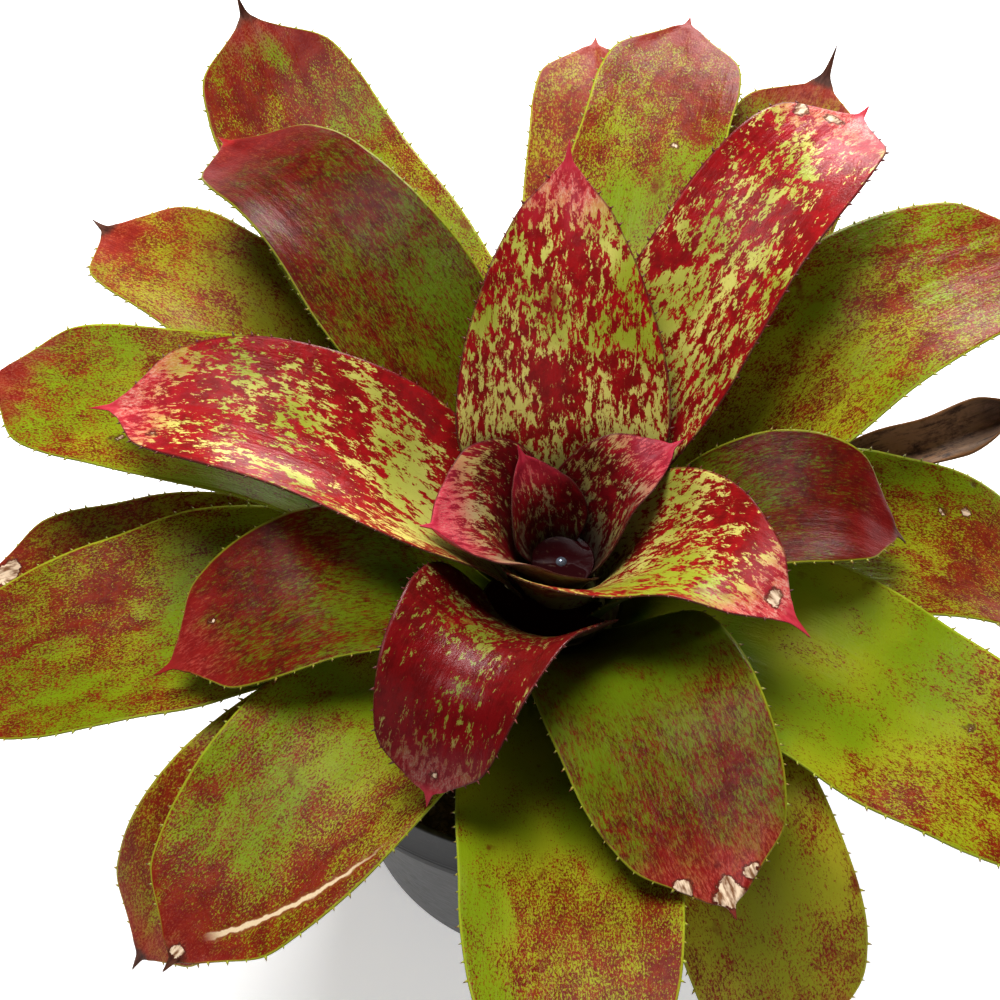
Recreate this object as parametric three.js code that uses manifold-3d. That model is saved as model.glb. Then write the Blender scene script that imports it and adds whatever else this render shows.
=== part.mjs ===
// A potted tank bromeliad: a rosette of broad strap leaves round a water-holding cup,
// standing in a round plastic pot.
// Millimetres, +Z up. The origin is the middle of the pot's underside, and the front of the plant faces -Y.
import * as THREE from "three";
import { mergeVertices } from "three/addons/utils/BufferGeometryUtils.js";
import Module from "manifold-3d";

const wasm = await Module();
wasm.setup();

// ---- driving dimensions ----
const CLEARANCE = 0.35; // gap kept between pieces that touch

const POT_HEIGHT = 100;
const POT_BASE_RADIUS = 54;
const POT_NECK_RADIUS = 72; // outside of the body just under the rim band
const POT_RIM_RADIUS = 77; // outside of the rim band
const POT_WALL = 1.6;
const POT_FLOOR = 2.2;
const RIM_BAND_HEIGHT = 15;
const RIM_LIP = 1.2; // how far the lower edge of the rim band stands out past its top
const DRAIN_HOLES = 6;
const DRAIN_HOLE_RADIUS = 5;
const DRAIN_CIRCLE_RADIUS = 36;

const MIX_BELOW_RIM = 17; // from the pot's top edge down to the potting mix
const MIX_CROWN = 3; // how much the mix rises towards the stem

const STEM_DEPTH = 30; // how far the stem goes down into the mix
const STEM_TOP = 24; // top of the stem above the mix

const WATER_LEVEL = 32; // surface of the water in the cup above the mix
const WATER_RADIUS = 6.3;

const AXIL_LEVEL = 29; // surface of the smaller pool in front of the cup, above the mix
const AXIL_DEPTH = 3;
const AXIL_INNER_RADIUS = 15;
const AXIL_OUTER_RADIUS = 18.2;
const AXIL_START = THREE.MathUtils.degToRad(-130);
const AXIL_END = THREE.MathUtils.degToRad(-86);

const LEAF_THICKNESS = 1.05; // along the midrib
const MARGIN_THICKNESS = 0.6; // at the leaf's edges
const ROW_STEP_OUT = 1.05; // each row of leaf bases lies this much further out than the row inside it
const ROW_STEP_DOWN = 1.6; // and this much lower
const SPINE_TIP_LENGTH = 6; // the pointed tip beyond the blade

const MIX_LEVEL = POT_HEIGHT - MIX_BELOW_RIM;

// ---- materials ----
const colour = (hex, roughness) => new THREE.MeshStandardMaterial({ color: hex, roughness, metalness: 0 });
const potBlack = colour(0x2b2b2d, 0.7);
const barkBrown = colour(0x3a2618, 0.95);
const stemGreen = colour(0x6d7a2c, 0.8);
const waterDark = colour(0x20140f, 0.05);
const heartRed = colour(0xa5232f, 0.4);
const middleRed = colour(0x7a3a1e, 0.45);
const outerGreen = colour(0x8f9a2a, 0.5);
const oldRed = colour(0xb5552c, 0.6);
const driedBrown = colour(0x5f4a3a, 0.9);

const bromeliad = new THREE.Group();

function add(name, geometry, material, parent = bromeliad) {
  const mesh = new THREE.Mesh(geometry, material);
  mesh.name = name;
  parent.add(mesh);
  return mesh;
}

// ---- manifold helpers, for the drainage holes ----
function toSolid(geometry) {
  const bare = geometry.clone();
  bare.deleteAttribute("normal");
  bare.deleteAttribute("uv");
  const merged = mergeVertices(bare, 1e-4);
  const mesh = new wasm.Mesh({
    numProp: 3,
    vertProperties: merged.attributes.position.array,
    triVerts: new Uint32Array(merged.index.array),
  });
  return new wasm.Manifold(mesh);
}

function toGeometry(solid) {
  const mesh = solid.getMesh();
  const geometry = new THREE.BufferGeometry();
  geometry.setAttribute("position", new THREE.BufferAttribute(mesh.vertProperties, 3));
  geometry.setIndex(new THREE.BufferAttribute(mesh.triVerts, 1));
  geometry.computeVertexNormals();
  return geometry;
}

// A solid of revolution about +Z from [radius, height] pairs, which run anticlockwise round the section.
function turned(profile, segments) {
  const points = profile.map(([radius, height]) => new THREE.Vector2(radius, height));
  const geometry = new THREE.LatheGeometry(points, segments);
  geometry.rotateX(Math.PI / 2);
  return geometry;
}

// ---- pot ----
const bandBottom = POT_HEIGHT - RIM_BAND_HEIGHT;
const innerBase = POT_BASE_RADIUS - POT_WALL;
const innerNeck = POT_NECK_RADIUS - POT_WALL;
const innerRim = POT_RIM_RADIUS - RIM_LIP - POT_WALL;

const potProfile = [
  [0, 0],
  [POT_BASE_RADIUS - 2, 0],
  [POT_BASE_RADIUS, 2],
  [POT_NECK_RADIUS, bandBottom],
  [POT_RIM_RADIUS, bandBottom],
  [POT_RIM_RADIUS - RIM_LIP, POT_HEIGHT],
  [innerRim, POT_HEIGHT],
  [innerRim, bandBottom + POT_WALL * 2],
  [innerNeck, bandBottom],
  [innerBase, POT_FLOOR],
  [0, POT_FLOOR],
];

function pot() {
  let body = toSolid(turned(potProfile, 48));
  for (let i = 0; i < DRAIN_HOLES; i++) {
    const angle = (i / DRAIN_HOLES) * Math.PI * 2;
    const place = new THREE.Vector3(DRAIN_CIRCLE_RADIUS, 0, POT_FLOOR / 2);
    place.applyAxisAngle(new THREE.Vector3(0, 0, 1), angle);
    const hole = new THREE.CylinderGeometry(DRAIN_HOLE_RADIUS, DRAIN_HOLE_RADIUS, POT_FLOOR * 3, 16);
    hole.rotateX(Math.PI / 2);
    hole.translate(place.x, place.y, place.z);
    body = body.subtract(toSolid(hole));
  }
  return toGeometry(body);
}
add("pot", pot(), potBlack);

// Everything above the mix is placed from the mix's level, so it follows a taller or shorter pot.
const plant = new THREE.Group();
plant.position.z = MIX_LEVEL;
bromeliad.add(plant);

// ---- rows of leaf bases on the stem ----
const rowRadius = (row) => 6 + ROW_STEP_OUT * row;
const rowHeight = (row) => 26 - ROW_STEP_DOWN * row;
const LAST_ROW = 13;

// The stem's side runs just inside the leaf bases.
const stemGap = LEAF_THICKNESS / 2 + CLEARANCE;
const stemSide = (row) => rowRadius(row) - stemGap - 1;
const stemRootRadius = stemSide(LAST_ROW);

const stemProfile = [
  [0, -STEM_DEPTH],
  [stemRootRadius - 4, -STEM_DEPTH],
  [stemRootRadius, -STEM_DEPTH + 6],
  [stemRootRadius, rowHeight(LAST_ROW) - 3],
  [stemSide(0), STEM_TOP - 2],
  [stemSide(0) - 1.5, STEM_TOP],
  [0, STEM_TOP],
];
add("stem", turned(stemProfile, 20), stemGreen, plant);

// ---- potting mix, with a well that the stem stands in ----
const wallRadiusAt = (height) => {
  const share = (height - POT_FLOOR) / (bandBottom - POT_FLOOR);
  return innerBase + (innerNeck - innerBase) * share;
};
const mixEdge = wallRadiusAt(MIX_LEVEL - 2) - CLEARANCE;
const wellRadius = stemRootRadius + CLEARANCE;
const mixBottom = POT_FLOOR + CLEARANCE;
const mixProfile = [
  [0, mixBottom],
  [innerBase - CLEARANCE - 0.3, mixBottom],
  [mixEdge, MIX_LEVEL - 2],
  [mixEdge - 3, MIX_LEVEL],
  [wellRadius + 12, MIX_LEVEL + MIX_CROWN],
  [wellRadius, MIX_LEVEL + MIX_CROWN],
  [wellRadius, MIX_LEVEL - STEM_DEPTH - CLEARANCE],
  [0, MIX_LEVEL - STEM_DEPTH - CLEARANCE],
];
add("potting_mix", turned(mixProfile, 36), barkBrown);

// ---- water standing in the cup ----
const waterBottom = STEM_TOP + CLEARANCE;
const waterProfile = [
  [0, waterBottom],
  [3.6, waterBottom],
  [WATER_RADIUS, WATER_LEVEL],
  [0, WATER_LEVEL],
];
add("cup_water", turned(waterProfile, 20), waterDark, plant);

// ---- water standing in the axil of the front heart leaf ----
const axilShape = new THREE.Shape();
axilShape.absarc(0, 0, AXIL_OUTER_RADIUS, AXIL_START, AXIL_END, false);
axilShape.absarc(0, 0, AXIL_INNER_RADIUS, AXIL_END, AXIL_START, true);
const axilDepth = { depth: AXIL_DEPTH, bevelEnabled: false, curveSegments: 8 };
const axilPool = new THREE.ExtrudeGeometry(axilShape, axilDepth);
axilPool.translate(0, 0, AXIL_LEVEL - AXIL_DEPTH);
add("axil_water", axilPool, waterDark, plant);

// ---- leaves ----
// Each leaf is described in the upright plane at its azimuth, in degrees from +X towards +Y:
//   row    which row of leaf bases it grows from, 0 innermost
//   path   the midrib from its base to the blade's end, as [distance from the axis, height above the mix]
//   wide   full width of the blade where it is widest
//   wrap   half angle that the base takes up round the stem, in degrees
//   skew   how far round the stem the sheath sits from the blade, in degrees
//   opens  how far along the leaf it turns from a wrapped sheath to a blade
//   fold   half angle of the trough across the blade, in degrees, from the base to the end
//   taper  how wide the blade stays near its end, as a share of the full width
//   sway   how far the midrib swings sideways by the end of the blade
const ACROSS = 4; // flat strips across each face of a leaf
const STATIONS = [0, 0.1, 0.22, 0.36, 0.5, 0.64, 0.77, 0.88, 0.95, 0.99];

// A value that runs smoothly through evenly spaced knots.
function along(knots, t) {
  const place = t * (knots.length - 1);
  const i = Math.min(Math.floor(place), knots.length - 2);
  return THREE.MathUtils.lerp(knots[i], knots[i + 1], THREE.MathUtils.smoothstep(place - i, 0, 1));
}

function halfWidthAt(t, leaf, length) {
  const base = rowRadius(leaf.row) * THREE.MathUtils.degToRad(leaf.wrap ?? 34);
  const full = leaf.wide / 2;
  const grown = THREE.MathUtils.smoothstep(t, 0, leaf.widest ?? 0.45);
  const kept = THREE.MathUtils.smoothstep(t, leaf.widest ?? 0.45, 1);
  const plain = base + (full - base) * grown - full * (1 - leaf.taper) * kept;
  const rounding = Math.min((leaf.wide * (leaf.round ?? 0.6)) / length, 0.5);
  const u = Math.max(0, (t - (1 - rounding)) / rounding);
  return Math.max(plain * Math.sqrt(1 - u * u), 1.2);
}

function leafGeometry(leaf) {
  const base = [rowRadius(leaf.row), rowHeight(leaf.row)];
  const knots = [base, ...leaf.path];
  const sway = leaf.sway ?? 0;
  const points = knots.map(([out, up], i) => {
    const share = i / (knots.length - 1);
    return new THREE.Vector3(out, sway * share * share, up);
  });
  const midrib = new THREE.CatmullRomCurve3(points, false, "centripetal");
  const length = midrib.getLength();
  const positions = [];
  const ring = 2 * (ACROSS + 1);

  for (const t of STATIONS) {
    const centre = midrib.getPointAt(t);
    const forward = midrib.getTangentAt(t);
    const side = new THREE.Vector3(0, 1, 0);
    side.addScaledVector(forward, -side.dot(forward)).normalize();
    const up = new THREE.Vector3().crossVectors(forward, side);

    // Near its base a leaf is wrapped round the stem; further out it opens into a shallow trough.
    const half = halfWidthAt(t, leaf, length);
    const trough = half / THREE.MathUtils.degToRad(along(leaf.fold, t));
    const opened = THREE.MathUtils.smoothstep(t, 0, leaf.opens ?? 0.3);
    const bend = THREE.MathUtils.lerp(centre.x, trough, opened);
    const angle = half / bend;
    const skew = THREE.MathUtils.degToRad(leaf.skew ?? 0) * (1 - THREE.MathUtils.smoothstep(t, 0.1, 0.7));
    const upper = [];
    const lower = [];
    for (let j = 0; j <= ACROSS; j++) {
      const u = (2 * j) / ACROSS - 1;
      const a = u * angle + skew;
      const point = centre.clone();
      point.addScaledVector(side, bend * Math.sin(a));
      point.addScaledVector(up, bend * (1 - Math.cos(a)));
      const inward = side.clone().multiplyScalar(-Math.sin(a)).addScaledVector(up, Math.cos(a));
      const thickness = THREE.MathUtils.lerp(LEAF_THICKNESS, MARGIN_THICKNESS, u * u);
      upper.push(point.clone().addScaledVector(inward, thickness / 2));
      lower.push(point.clone().addScaledVector(inward, -thickness / 2));
    }
    for (const point of [...upper, ...lower.reverse()]) positions.push(point.x, point.y, point.z);
  }
  const tip = midrib.getPointAt(1).addScaledVector(midrib.getTangentAt(1), SPINE_TIP_LENGTH);
  positions.push(tip.x, tip.y, tip.z);

  const index = [];
  for (let i = 0; i < STATIONS.length - 1; i++) {
    for (let j = 0; j < ring; j++) {
      const a = i * ring + j;
      const b = i * ring + ((j + 1) % ring);
      index.push(a, b + ring, b, a, a + ring, b + ring);
    }
  }
  const lastRing = (STATIONS.length - 1) * ring;
  for (let j = 0; j < ring; j++) {
    index.push(lastRing + j, lastRing + ring, lastRing + ((j + 1) % ring));
  }
  for (let j = 0; j < ACROSS; j++) {
    const upperA = j;
    const upperB = j + 1;
    const lowerB = ring - 2 - j;
    const lowerA = ring - 1 - j;
    index.push(upperA, upperB, lowerB, upperA, lowerB, lowerA);
  }
  const geometry = new THREE.BufferGeometry();
  geometry.setAttribute("position", new THREE.Float32BufferAttribute(positions, 3));
  geometry.setIndex(index);
  geometry.computeVertexNormals();
  return geometry;
}

const HEART_FOLD = [40, 40, 28, 16];
const BLADE_FOLD = [30, 26, 17, 12];

const leaves = [
  // the cup
  {
    name: "cup_leaf_back", azimuth: 124, row: 0,
    path: [[8.8, 36], [11, 46], [16, 54]],
    wide: 28, wrap: 62, fold: [80, 75, 62, 40], taper: 0.8, round: 0.5,
  },
  {
    name: "cup_leaf_right", azimuth: 27, row: 1,
    path: [[10.8, 36], [15, 48], [20, 57], [28, 60]],
    wide: 36, wrap: 60, fold: [74, 70, 60, 30], taper: 0.8,
  },
  {
    name: "cup_leaf_left", azimuth: 194, row: 2,
    path: [[12, 36], [15.2, 45.5], [21.5, 53.5], [30, 57]],
    wide: 54, wrap: 80, skew: 20, fold: [90, 94, 66, 34], taper: 1, round: 0.35,
  },
  {
    name: "heart_leaf_right", azimuth: -40, row: 4,
    path: [[14.6, 36], [21.6, 49], [33.5, 63], [50, 74], [67, 72]],
    wide: 62, wrap: 82, skew: -15, opens: 0.42, fold: [84, 66, 38, 20], taper: 0.5, widest: 0.35,
  },
  // the variegated heart
  {
    name: "heart_leaf_back", azimuth: 92.5, row: 4,
    path: [[15.4, 36], [26, 60], [50, 84], [73, 96]],
    wide: 57, wrap: 30, fold: HEART_FOLD, taper: 0.5, widest: 0.4, sway: -5,
  },
  {
    name: "heart_leaf_left", azimuth: 168, row: 5,
    path: [[17.4, 36], [33, 51], [60, 67], [90, 71], [113, 64]],
    wide: 52, wrap: 46, skew: 12, fold: [60, 48, 30, 16], taper: 0.7, widest: 0.35,
  },
  {
    name: "heart_leaf_back_right", azimuth: 51.5, row: 5,
    path: [[17.4, 36], [36, 58], [66, 84], [100, 92], [127, 84]],
    wide: 41, wrap: 32, fold: HEART_FOLD, taper: 0.8, sway: 3,
  },
  {
    name: "heart_leaf_front", azimuth: -112, row: 7,
    path: [[23, 31], [35, 49], [49, 65], [64, 72], [76, 66], [82, 54]],
    wide: 52, wrap: 50, fold: [50, 50, 48, 30], taper: 0.7, widest: 0.3,
  },
  // the ring of darker red leaves
  {
    name: "middle_leaf_right", azimuth: -2, row: 6,
    path: [[19, 31], [31, 46], [47, 57], [69, 58], [80, 50]],
    wide: 44, wrap: 54, skew: -20, fold: [50, 44, 24, 16], taper: 0.85,
  },
  {
    name: "middle_leaf_back_left", azimuth: 127.5, row: 8,
    path: [[22, 33], [42, 54], [70, 70], [104, 77], [143, 62]],
    wide: 44, fold: BLADE_FOLD, taper: 0.8,
  },
  {
    name: "middle_leaf_front_left", azimuth: -158, row: 8,
    path: [[25, 28], [37, 42], [50, 50], [64, 54], [80, 51], [100, 43]],
    wide: 45, fold: BLADE_FOLD, taper: 0.85,
  },
  {
    name: "middle_leaf_front_right", azimuth: -72, row: 8,
    path: [[25, 28], [40, 46], [60, 56], [84, 54], [108, 50]],
    wide: 52, fold: BLADE_FOLD, taper: 0.9, sway: 2,
  },
  // the broad outer leaves
  {
    name: "outer_leaf_back", azimuth: 78, row: 9,
    path: [[24, 30], [52, 50], [90, 62], [125, 64], [161, 61]],
    wide: 42, fold: BLADE_FOLD, taper: 0.9, sway: -3,
  },
  {
    name: "outer_leaf_left_high", azimuth: 162, row: 9,
    path: [[26, 26], [50, 43], [68, 53], [95, 54], [120, 50], [150, 46]],
    wide: 49, fold: BLADE_FOLD, taper: 0.9,
  },
  {
    name: "outer_leaf_right_low", azimuth: -32, row: 9,
    path: [[28, 25], [44, 36], [63, 42], [90, 38], [118, 36], [144, 30]],
    wide: 56, fold: BLADE_FOLD, taper: 0.9,
  },
  {
    name: "outer_leaf_back_left", azimuth: 119, row: 10,
    path: [[29, 25], [60, 40], [105, 45], [150, 47], [184, 60]],
    wide: 53, fold: BLADE_FOLD, taper: 0.85, sway: -4,
  },
  {
    name: "outer_leaf_front_left", azimuth: -130, row: 10,
    path: [[29, 22], [46, 32], [78, 40], [113, 35], [137, 28]],
    wide: 53, fold: BLADE_FOLD, taper: 0.9,
  },
  {
    name: "outer_leaf_right_high", azimuth: 33, row: 10,
    path: [[29, 24], [60, 50], [97, 66], [148, 60]],
    wide: 53, fold: BLADE_FOLD, taper: 0.9,
  },
  {
    name: "outer_leaf_left", azimuth: -169.5, row: 11,
    path: [[32, 18], [50, 27], [78, 33], [108, 29], [155, 18]],
    wide: 56, wrap: 32, fold: BLADE_FOLD, taper: 0.9,
  },
  {
    name: "outer_leaf_front", azimuth: -89.5, row: 11,
    path: [[32, 18], [50, 28], [85, 40], [120, 47], [146, 45]],
    wide: 53, fold: BLADE_FOLD, taper: 0.9,
  },
  {
    name: "outer_leaf_right", azimuth: 3, row: 11,
    path: [[32, 18], [50, 29], [70, 36], [90, 33], [112, 22], [128, 9]],
    wide: 50, fold: BLADE_FOLD, taper: 0.9,
  },
  // the lowest leaves
  {
    name: "low_leaf_back_right", azimuth: 63, row: 12,
    path: [[35, 12], [70, 26], [110, 34], [140, 44], [166, 53]],
    wide: 44, wrap: 24, fold: BLADE_FOLD, taper: 0.9,
  },
  {
    name: "low_leaf_front_left", azimuth: -140, row: 12,
    path: [[35, 10], [60, 19], [93, 25], [112, 18], [134, -12]],
    wide: 42, wrap: 30, fold: BLADE_FOLD, taper: 0.9,
  },
  {
    name: "low_leaf_far_left", azimuth: 138, row: 12,
    path: [[35, 12], [70, 25], [113, 40], [138, 38], [166, 30]],
    wide: 42, wrap: 30, fold: BLADE_FOLD, taper: 0.9,
  },
  {
    name: "low_leaf_left", azimuth: 174, row: 13,
    path: [[36, 9], [70, 18], [97, 20], [122, 12], [149, 0]],
    wide: 36, wrap: 25, fold: BLADE_FOLD, taper: 0.9,
  },
  {
    name: "low_leaf_front_right", azimuth: -63.5, row: 13,
    path: [[36, 10], [62, 26], [85, 32], [103, 23], [127, -6]],
    wide: 50, wrap: 28, fold: BLADE_FOLD, taper: 0.9,
  },
  {
    name: "low_leaf_back", azimuth: 86, row: 13,
    path: [[36, 7], [80, 21], [130, 32], [160, 35], [178, 33]],
    wide: 36, wrap: 22, fold: BLADE_FOLD, taper: 0.9,
  },
  {
    name: "dried_leaf", azimuth: 24.5, row: 13,
    path: [[40, 10], [70, 19], [92, 22], [114, 19], [136, 20]],
    wide: 18, wrap: 20, fold: [30, 60, 70, 70], taper: 0.9, widest: 0.25,
  },
];

const looks = {
  cup: heartRed,
  heart: heartRed,
  middle: middleRed,
  outer: outerGreen,
  low: oldRed,
  dried: driedBrown,
};
for (const leaf of leaves) {
  const look = looks[leaf.name.split("_")[0]];
  const mesh = add(leaf.name, leafGeometry(leaf), look, plant);
  mesh.rotation.z = THREE.MathUtils.degToRad(leaf.azimuth);
}

export default bromeliad;
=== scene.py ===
"""A potted tank bromeliad: spine-edged strap leaves round a water-filled cup, in a round plastic pot.

Metres, +Z up, the origin in the middle of the pot's underside, the plant's front towards -Y.
"""

import math

import bmesh
import bpy
import numpy as np
from bpy.props import FloatProperty, FloatVectorProperty, IntProperty, PointerProperty
from mathutils import Matrix, Vector, noise
from mathutils.bvhtree import BVHTree


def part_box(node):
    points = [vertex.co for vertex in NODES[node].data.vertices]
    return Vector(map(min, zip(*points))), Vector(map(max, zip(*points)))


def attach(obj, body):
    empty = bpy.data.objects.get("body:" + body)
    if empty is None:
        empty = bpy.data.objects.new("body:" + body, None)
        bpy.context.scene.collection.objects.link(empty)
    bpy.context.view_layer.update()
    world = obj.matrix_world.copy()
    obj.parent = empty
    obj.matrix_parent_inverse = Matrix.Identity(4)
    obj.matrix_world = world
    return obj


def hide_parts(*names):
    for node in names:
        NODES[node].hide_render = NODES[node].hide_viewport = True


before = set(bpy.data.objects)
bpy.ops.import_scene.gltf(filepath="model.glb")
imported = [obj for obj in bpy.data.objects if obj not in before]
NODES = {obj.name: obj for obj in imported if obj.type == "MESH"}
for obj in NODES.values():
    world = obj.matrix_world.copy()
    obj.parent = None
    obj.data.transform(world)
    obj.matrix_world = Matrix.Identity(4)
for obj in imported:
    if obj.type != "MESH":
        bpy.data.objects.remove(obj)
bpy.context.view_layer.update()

bl_info = {
    "name": "Potted Bromeliad",
    "version": (1, 0, 0),
    "blender": (4, 5, 0),
    "location": "View3D > Sidebar > Bromeliad",
    "description": "Builds a potted tank bromeliad piece by piece round its packed solids",
    "category": "Object",
}

BODY = "root"
MM = 0.001
SEAM = 1e-5  # solids arrive as loose triangles, and corners closer than this are one corner


# ---- what the packed solids say ----
def node_points(node):
    """The corners of a solid as an array, in metres."""
    return np.array([v.co for v in NODES[node].data.vertices], float)


def radius_at(node, low, high):
    """How far a solid reaches from the pot's axis between two heights."""
    points = node_points(node)
    kept = points[(points[:, 2] >= low) & (points[:, 2] <= high)]
    return float(np.hypot(kept[:, 0], kept[:, 1]).max())


POT_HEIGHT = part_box("pot")[1].z
POT_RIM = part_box("pot")[1].x
POT_BASE = radius_at("pot", 0, 3 * MM)
RIM_BOTTOM = float(min(p[2] for p in node_points("pot") if math.hypot(p[0], p[1]) > POT_RIM - 0.1 * MM))
POT_NECK = max(
    math.hypot(p[0], p[1])
    for p in node_points("pot")
    if abs(p[2] - RIM_BOTTOM) < 0.1 * MM and math.hypot(p[0], p[1]) < POT_RIM - 2 * MM
)
RIM_TOP = radius_at("pot", POT_HEIGHT - 0.1 * MM, POT_HEIGHT)
MIX_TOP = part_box("potting_mix")[1].z
MIX_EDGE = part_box("potting_mix")[1].x
STEM_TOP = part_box("stem")[1].z
STEM_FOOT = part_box("stem")[0].z
STEM_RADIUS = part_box("stem")[1].x
WATER_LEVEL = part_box("cup_water")[1].z
AXIL_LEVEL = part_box("axil_water")[1].z
CUP_REACH, CUP_DEPTH = 8.6 * MM, 3.5 * MM  # how far the cup's water may spread, and how deep it is drawn
AXIL_REACH = 16 * MM  # how far the axil's water may spread
SENSOR = 36  # the camera's sensor width in millimetres

LEAF_KINDS = ("cup", "heart", "middle", "outer", "low", "dried")
LEAVES = {kind: sorted(node for node in NODES if node.startswith(kind + "_leaf")) for kind in LEAF_KINDS}


# ---- settings ----
def length(name, text, default, low=0.0, high=1.0):
    return FloatProperty(
        name=name, description=text, default=default, min=low, max=high, unit="LENGTH", precision=4
    )


def share(name, text, default, low=0.0, high=1.0):
    return FloatProperty(name=name, description=text, default=default, min=low, max=high, subtype="FACTOR")


def number(name, text, default, low=0.0, high=1000.0):
    return FloatProperty(name=name, description=text, default=default, min=low, max=high)


def count(name, text, default, low=1, high=10000):
    return IntProperty(name=name, description=text, default=default, min=low, max=high)


def colour(name, text, default):
    return FloatVectorProperty(
        name=name, description=text, default=default, size=3, min=0.0, max=1.0, subtype="COLOR"
    )


class PotSettings(bpy.types.PropertyGroup):
    """The moulded plastic pot."""

    wall: length("Wall", "Thickness of the pot's wall", 1.6 * MM)
    lip: length("Lip radius", "Rounding along the top and bottom of the rim band", 0.7 * MM)
    ridge: length("Ridge", "How far the two raised lines above the band's lower edge stand out", 0.35 * MM)
    drain_radius: length("Drain hole radius", "Radius of each drainage hole", 5 * MM)
    drain_circle: length("Drain circle", "Distance of the drainage holes from the middle", 36 * MM)
    drain_count: count("Drain holes", "Number of drainage holes", 6)
    segments: count("Segments", "Sides round the pot", 180)
    # painted light: the body is given a lighter colour than the rim band, for the light of the pale floor it
    # faces
    lit_body_colour: colour("Body colour", "Colour of the pot's body", (0.030, 0.031, 0.033))
    band_colour: colour("Band colour", "Colour of the rim band", (0.012, 0.012, 0.013))
    dust_colour: colour("Dust colour", "Colour of dust and dried water marks", (0.16, 0.15, 0.14))


class MixSettings(bpy.types.PropertyGroup):
    """The bark and peat mix in the pot."""

    chip: length("Chip size", "Typical length of a bark chip", 4.5 * MM)
    spacing: length("Chip spacing", "Smallest distance between chips", 2.4 * MM)
    swell: length("Unevenness", "Height of the bumps in the mix's surface", 1.6 * MM)
    seed: count("Seed", "Seed of the scattered chips", 7)
    dark: colour("Dark bark", "Colour of damp bark", (0.020, 0.010, 0.005))
    light: colour("Light bark", "Colour of drier bark", (0.12, 0.060, 0.028))


class WaterSettings(bpy.types.PropertyGroup):
    """The standing water."""

    reach: length("Reach", "How far the water's edge runs into the leaf walls", 0.8 * MM)
    meniscus: length("Meniscus", "How far the water climbs where it meets a leaf", 0.15 * MM)
    bubble: length("Bubble", "Radius of the air bubble in the cup", 1.5 * MM)
    # painted shade and reflection: the water's dark red-brown stands for the shaded depth below it and the
    # red walls it mirrors
    shade_tint: colour("Tint", "Colour of the tannin-stained water", (0.024, 0.002, 0.003))
    # painted highlight: the bubble's silvery grey-blue stands for the glint of the lights it mirrors
    bubble_glint: colour("Bubble colour", "Colour of the bubble's silvery skin", (0.30, 0.35, 0.42))


class BladeSettings(bpy.types.PropertyGroup):
    """The shape of every leaf."""

    rows: count("Rows", "Rows of faces along a blade", 96)
    columns: count("Columns", "Columns of faces across one side of a blade", 20)
    ripple: length("Ripple", "Height of the waves along a blade's margins", 0.8 * MM)
    channel: length("Channel", "Depth of the groove along the midrib", 0.35 * MM)
    spike: length("Tip spike", "Length of the spike at the end of a blade", 6 * MM)
    spike_base: length("Spike base", "Half width of the spike where it leaves the blade", 1.9 * MM)
    rounding: length("Shoulder rounding", "How far the blade's corners are eased", 5 * MM)
    spine_gap: length("Spine spacing", "Distance between marginal spines", 4.6 * MM)
    spine: length("Spine length", "Length of a marginal spine", 1.1 * MM)
    spine_width: length("Spine width", "Radius of a spine's foot", 0.33 * MM)
    seed: count("Seed", "Seed of the spines' lengths and turns", 3)


LOOK_FIELDS = {
    "ground": (colour, "Ground", "Colour of the blade between its markings"),
    "cream": (colour, "Cream", "Colour that the ground drifts to in places"),
    "base": (colour, "Base", "Colour of the blade near the stem"),
    "mark": (colour, "Marks", "Colour of the markings"),
    "mark_dark": (colour, "Dark marks", "Colour where markings are densest"),
    "tip": (colour, "Tip", "Colour of the blade's end"),
    "margin": (colour, "Margin", "Colour of the blade's edge"),
    "grain": (length, "Mark size", "Width of one marking"),
    "stretch": (number, "Mark stretch", "How many times longer than wide a marking is"),
    "near": (share, "Cover at base", "How much of the blade is marked near the stem"),
    "far": (share, "Cover at end", "How much of the blade is marked at its end"),
    "patchy": (share, "Patchiness", "How unevenly the markings are spread"),
    "crisp": (share, "Crispness", "How sharp the edges of the markings are"),
    "flush": (share, "Tip flush", "Share of the blade that takes the end's colour"),
    "scars": (share, "Scars", "Share of places that carry a small dry scar"),
    "gloss": (share, "Roughness", "Roughness of the waxy skin"),
    "sheen": (share, "Sheen", "Strength of the waxy skin's reflections"),
    # the pale streaks at a blade's end are partly the leaf's own pale flush, partly a painted highlight
    "pale": (share, "Pale streaks", "How pale the streaks at the blade's end are"),
}


def leaf_look(title, text, **defaults):
    """A PropertyGroup for the finish of one kind of leaf, with that kind's own defaults."""
    fields = {key: make(name, about, defaults[key]) for key, (make, name, about) in LOOK_FIELDS.items()}
    return type(title, (bpy.types.PropertyGroup,), {"__doc__": text, "__annotations__": fields})


CupLook = leaf_look(
    "CupLook",
    text="The three small leaves that form the cup.",
    ground=(0.38, 0.28, 0.15),
    cream=(0.46, 0.42, 0.13),
    base=(0.40, 0.30, 0.20),
    mark=(0.250, 0.003, 0.012),
    mark_dark=(0.120, 0.002, 0.007),
    tip=(0.52, 0.035, 0.075),
    margin=(0.08, 0.010, 0.012),
    grain=0.62 * MM,
    stretch=2.6,
    near=0.56,
    far=0.74,
    patchy=0.55,
    crisp=0.85,
    flush=0.15,
    scars=0.03,
    gloss=0.34,
    sheen=0.16,
    pale=0.35,
)
HeartLook = leaf_look(
    "HeartLook",
    text="The crimson and cream leaves at the heart.",
    ground=(0.275, 0.305, 0.026),
    cream=(0.58, 0.53, 0.150),
    base=(0.46, 0.43, 0.13),
    mark=(0.300, 0.003, 0.009),
    mark_dark=(0.190, 0.002, 0.006),
    tip=(0.50, 0.045, 0.070),
    margin=(0.10, 0.012, 0.012),
    grain=0.8 * MM,
    stretch=2.3,
    near=0.45,
    far=0.74,
    patchy=0.58,
    crisp=0.92,
    flush=0.10,
    scars=0.04,
    gloss=0.30,
    sheen=0.12,
    pale=0.75,
)
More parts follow.
